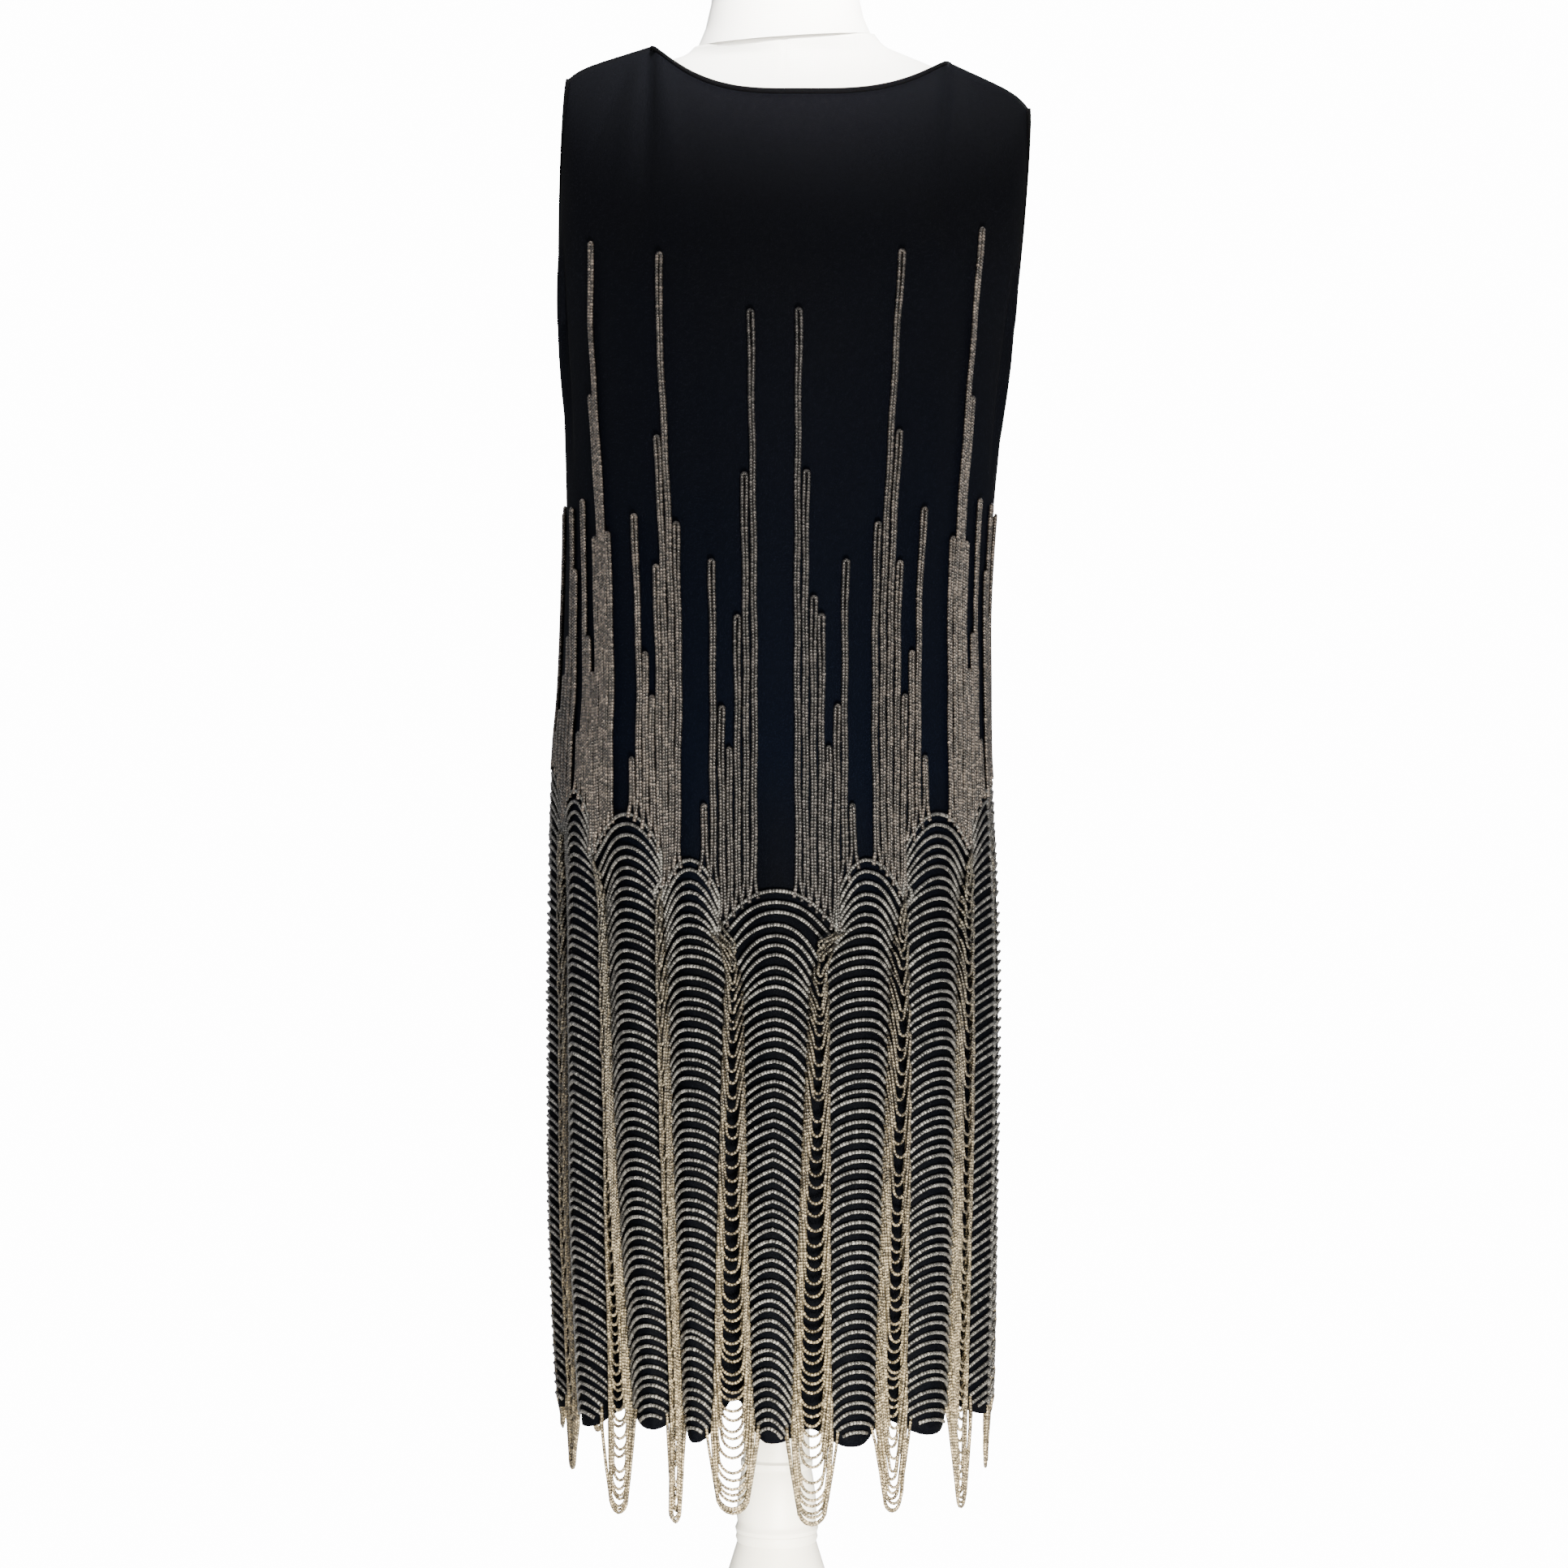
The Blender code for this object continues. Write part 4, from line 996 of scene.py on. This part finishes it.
footProfile = [
    (0.1700, 0.0000), (0.1700, 0.0150), (0.1650, 0.0220), (0.1450, 0.0290), (0.1100, 0.0430),
    (0.0800, 0.0680), (0.0600, 0.1050), (0.0460, 0.1550), (0.0370, 0.2050), (0.0302, 0.2270),
    (0.0314, 0.2305), (0.0306, 0.2340),
]


jersey = {
    "ribScale": 320.0, "courseScale": 260.0, "waver": 1.5, "cloudScale": 6.0, "relief": 0.0004,
    "roughness": 0.85, "sheen": 0.15,
}
paint = {
    "cloudScale": 14.0, "turnedScales": (60.0, 60.0, 420.0), "relief": 0.0006,
    "roughness": 0.33, "roughnessSpread": 0.18,
}


def jerseyMaterial():
    material, tree = newMaterial("whiteJersey")
    place = objectPlace(tree)
    rib, course = (
        addNode(tree, "ShaderNodeTexWave", {"wave_type": "BANDS", "bands_direction": direction},
                Vector=place, Scale=scale, Distortion=jersey["waver"], Detail=1.0).outputs["Fac"]
        for direction, scale in (("X", jersey["ribScale"]), ("Z", jersey["courseScale"]))
    )
    cloud = noise(tree, place, jersey["cloudScale"], 4.0)
    setShader(tree, {
        "Base Color": ramp(tree, cloud, [(0.3, (0.80, 0.77, 0.72)), (0.7, (0.88, 0.865, 0.83))]),
        "Normal": bump(tree, 0.4, jersey["relief"], maths(tree, "MULTIPLY", rib, course)),
        "Roughness": jersey["roughness"],
        "Sheen Weight": jersey["sheen"],
    })
    return material


def paintMaterial():
    material, tree = newMaterial("creamPaint")
    place = objectPlace(tree)
    cloud = noise(tree, place, paint["cloudScale"], 5.0)
    turned = noise(tree, stretched(tree, place, paint["turnedScales"]), 1.0, 3.0)
    patchy = maths(tree, "MULTIPLY", cloud, paint["roughnessSpread"])
    setShader(tree, {
        "Base Color": ramp(tree, cloud, [(0.30, (0.78, 0.735, 0.62)), (0.62, (0.88, 0.84, 0.74))]),
        "Roughness": maths(tree, "ADD", patchy, paint["roughness"]),
        "Normal": bump(tree, 0.25, paint["relief"], turned),
    })
    return material


whiteJersey, creamPaint = jerseyMaterial(), paintMaterial()


def tilt(points):
    share = np.clip((points[..., 2] - form["tiltFrom"]) / form["tiltOver"], 0.0, 1.0)
    fade = np.clip((form["leanTop"] - points[..., 2]) / form["leanOver"], 0.0, 1.0)
    lean = form["neckLean"] * points[..., 1] * fade
    points[..., 2] += (form["neckTilt"] * (points[..., 0] - form["x"]) + lean) * share
    return points


def makeTorso():
    turn = 2 * np.pi * np.arange(form["around"]) / form["around"]
    cosine, sine = np.cos(turn), np.sin(turn)
    grooves = [np.exp(-((turn - share * np.pi) / form["grooveWidth"]) ** 2) for share in (1.5, 0.5)]
    groove = form["groove"] * grooves[0] + form["groove"] * grooves[1]
    heights = np.unique(np.concatenate([np.linspace(*span) for span in form["rings"]]))
    rings = []
    for halfWidth, front, back, power, height in np.column_stack([readTable(formRows, heights), heights]):
        depth = np.where(sine > 0, back, front)
        x = np.sign(cosine) * np.abs(cosine) ** (2 / power) * halfWidth
        y = np.sign(sine) * np.abs(sine) ** (2 / power) * depth
        shrink = 1 - groove / np.maximum(np.hypot(x, y), 0.02)
        rings.append(tilt(np.stack([form["x"] + x * shrink, y * shrink, np.full_like(x, height)], axis=-1)))
    rings = np.array(rings)
    piece = meshPiece("dressForm", rings.reshape(-1, 3), tubeFaces(*rings.shape[:2]), whiteJersey)
    return finishPiece(piece, "form_torso")


def spunPiece(name, node, profile, centreX, oval, fineness, material, slot):
    line = [(0.0, profile[0][1])]
    for (r0, z0), (r1, z1) in zip(profile, profile[1:]):
        steps = max(int(math.hypot(r1 - r0, z1 - z0) / fineness), 1)
        line += [(mix(r0, r1, i / steps), mix(z0, z1, i / steps)) for i in range(steps)]
    line += [profile[-1], (0.0, profile[-1][1])]
    points = [(centreX + r, 0.0, z) for r, z in line]
    piece = meshPiece(name, points, [], material, [(i, i + 1) for i in range(len(points) - 1)])
    takeOnly(piece)
    bpy.ops.object.mode_set(mode="EDIT")
    bpy.ops.mesh.select_all(action="SELECT")
    bpy.ops.mesh.spin(steps=form["around"], angle=2 * math.pi, center=(centreX, 0.0, 0.0), axis=(0, 0, 1))
    bpy.ops.mesh.select_all(action="SELECT")
    bpy.ops.mesh.remove_doubles(threshold=0.00005)
    bpy.ops.mesh.normals_make_consistent(inside=False)
    bpy.ops.object.mode_set(mode="OBJECT")
    bpy.ops.object.shade_smooth_by_angle(angle=math.radians(32))
    piece.select_set(False)
    corners = np.array([v.co for v in piece.data.vertices])
    corners[:, 1] *= oval
    piece.data.vertices.foreach_set("co", tilt(corners).astype(np.float32).ravel())
    piece.data.update()
    return finishPiece(piece, node)


makeTorso()
neck, stand = (form["x"], form["neckOval"]), (dress["axisX"], 1.0)
spunPiece("formNeck", "form_neck", neckProfile, *neck, 0.004, whiteJersey, "form_cover")
spunPiece("neckCap", "form_neck_cap", capProfile, *neck, 0.002, creamPaint, "white_paint")
spunPiece("standPost", "stand_post", postProfile, *stand, 0.003, creamPaint, "white_paint")
spunPiece("standFoot", "stand_foot", footProfile, *stand, 0.004, creamPaint, "white_paint")
print("form and stand made")


# Studio: a pale floor, soft light and the camera.
studio = {
    "floorRadius": 0.90, "floorThickness": 0.004, "floorDrop": 0.0005, "floorColour": (0.90, 0.90, 0.90),
    "lens": 81.1, "eye": (-0.0029, -2.7, 0.805), "skyShown": 14.0, "skyLight": 0.45,
}
bpy.ops.mesh.primitive_cylinder_add(
    vertices=128, radius=studio["floorRadius"], depth=studio["floorThickness"],
    location=(dress["axisX"], 0.0, -studio["floorThickness"] / 2 - studio["floorDrop"]),
)
floor = bpy.context.active_object
floor.name = "studioFloor"
floorMaterial, floorTree = newMaterial("studioFloor")
setShader(floorTree, {"Base Color": (*studio["floorColour"], 1.0), "Roughness": 0.9})
floor.data.materials.append(floorMaterial)

world = bpy.data.worlds.new("studioWorld")
bpy.context.scene.world = world
world.use_nodes = True
sky = world.node_tree
background = sky.nodes["Background"].inputs
shown = addNode(sky, "ShaderNodeLightPath").outputs["Is Camera Ray"]
feed(sky, background["Color"], (1.0, 1.0, 1.0, 1.0))
feed(sky, background["Strength"],
     maths(sky, "ADD", maths(sky, "MULTIPLY", shown, studio["skyShown"]), studio["skyLight"]))

Lamp = namedtuple("Lamp", "name place aim size power colour cone", defaults=((1.0, 1.0, 1.0), None))
lamps = [
    Lamp("keyLight", (1.1, -2.4, 2.3), (0.0, 0.0, 0.9), 1.4, 55.0, (1.0, 0.98, 0.95)),
    Lamp("fillLight", (-1.9, -1.9, 1.4), (0.0, 0.0, 0.8), 1.6, 21.0, (0.96, 0.98, 1.0)),
    Lamp("lowLight", (0.3, -2.2, 0.25), (0.0, 0.0, 0.5), 1.0, 14.0, (1.0, 0.96, 0.88)),
    Lamp("neckLight", (0.45, -1.1, 1.95), (0.0, 0.0, 1.435), 0.15, 1700.0, (1.0, 0.985, 0.95), 12.5),
    Lamp("footLight", (0.15, -0.95, 0.12), (0.0, 0.0, 0.20), 0.40, 72.0, (1.0, 0.965, 0.87)),
    Lamp("rightLight", (2.4, 0.5, 1.6), (0.0, 0.0, 0.8), 1.6, 34.0),
    Lamp("leftLight", (-2.4, 0.6, 1.6), (0.0, 0.0, 0.8), 1.6, 30.0),
    Lamp("backLight", (0.2, 2.4, 1.9), (0.0, 0.0, 0.8), 1.8, 62.0),
    Lamp("topLight", (0.0, 0.2, 3.2), (0.0, 0.2, 0.0), 2.4, 70.0),
]
for lamp in lamps:
    if lamp.cone:
        light = bpy.data.lights.new(lamp.name, "SPOT")
        light.shadow_soft_size = lamp.size
        light.spot_size = math.radians(lamp.cone)
        light.spot_blend = 0.7
    else:
        light = bpy.data.lights.new(lamp.name, "AREA")
        light.shape = "DISK"
        light.size = lamp.size
    light.energy = lamp.power
    light.color = lamp.colour
    holder = bpy.data.objects.new(lamp.name, light)
    holder.location = lamp.place
    holder.rotation_euler = (Vector(lamp.aim) - Vector(lamp.place)).to_track_quat("-Z", "Y").to_euler()
    bpy.context.scene.collection.objects.link(holder)

cameraData = bpy.data.cameras.new("camera")
cameraData.lens = studio["lens"]
cameraData.sensor_width = 36.0
camera = bpy.data.objects.new("camera", cameraData)
camera.location = studio["eye"]
camera.rotation_euler = (math.radians(90.0), 0.0, 0.0)
bpy.context.scene.collection.objects.link(camera)
bpy.context.scene.camera = camera
print("studio made")
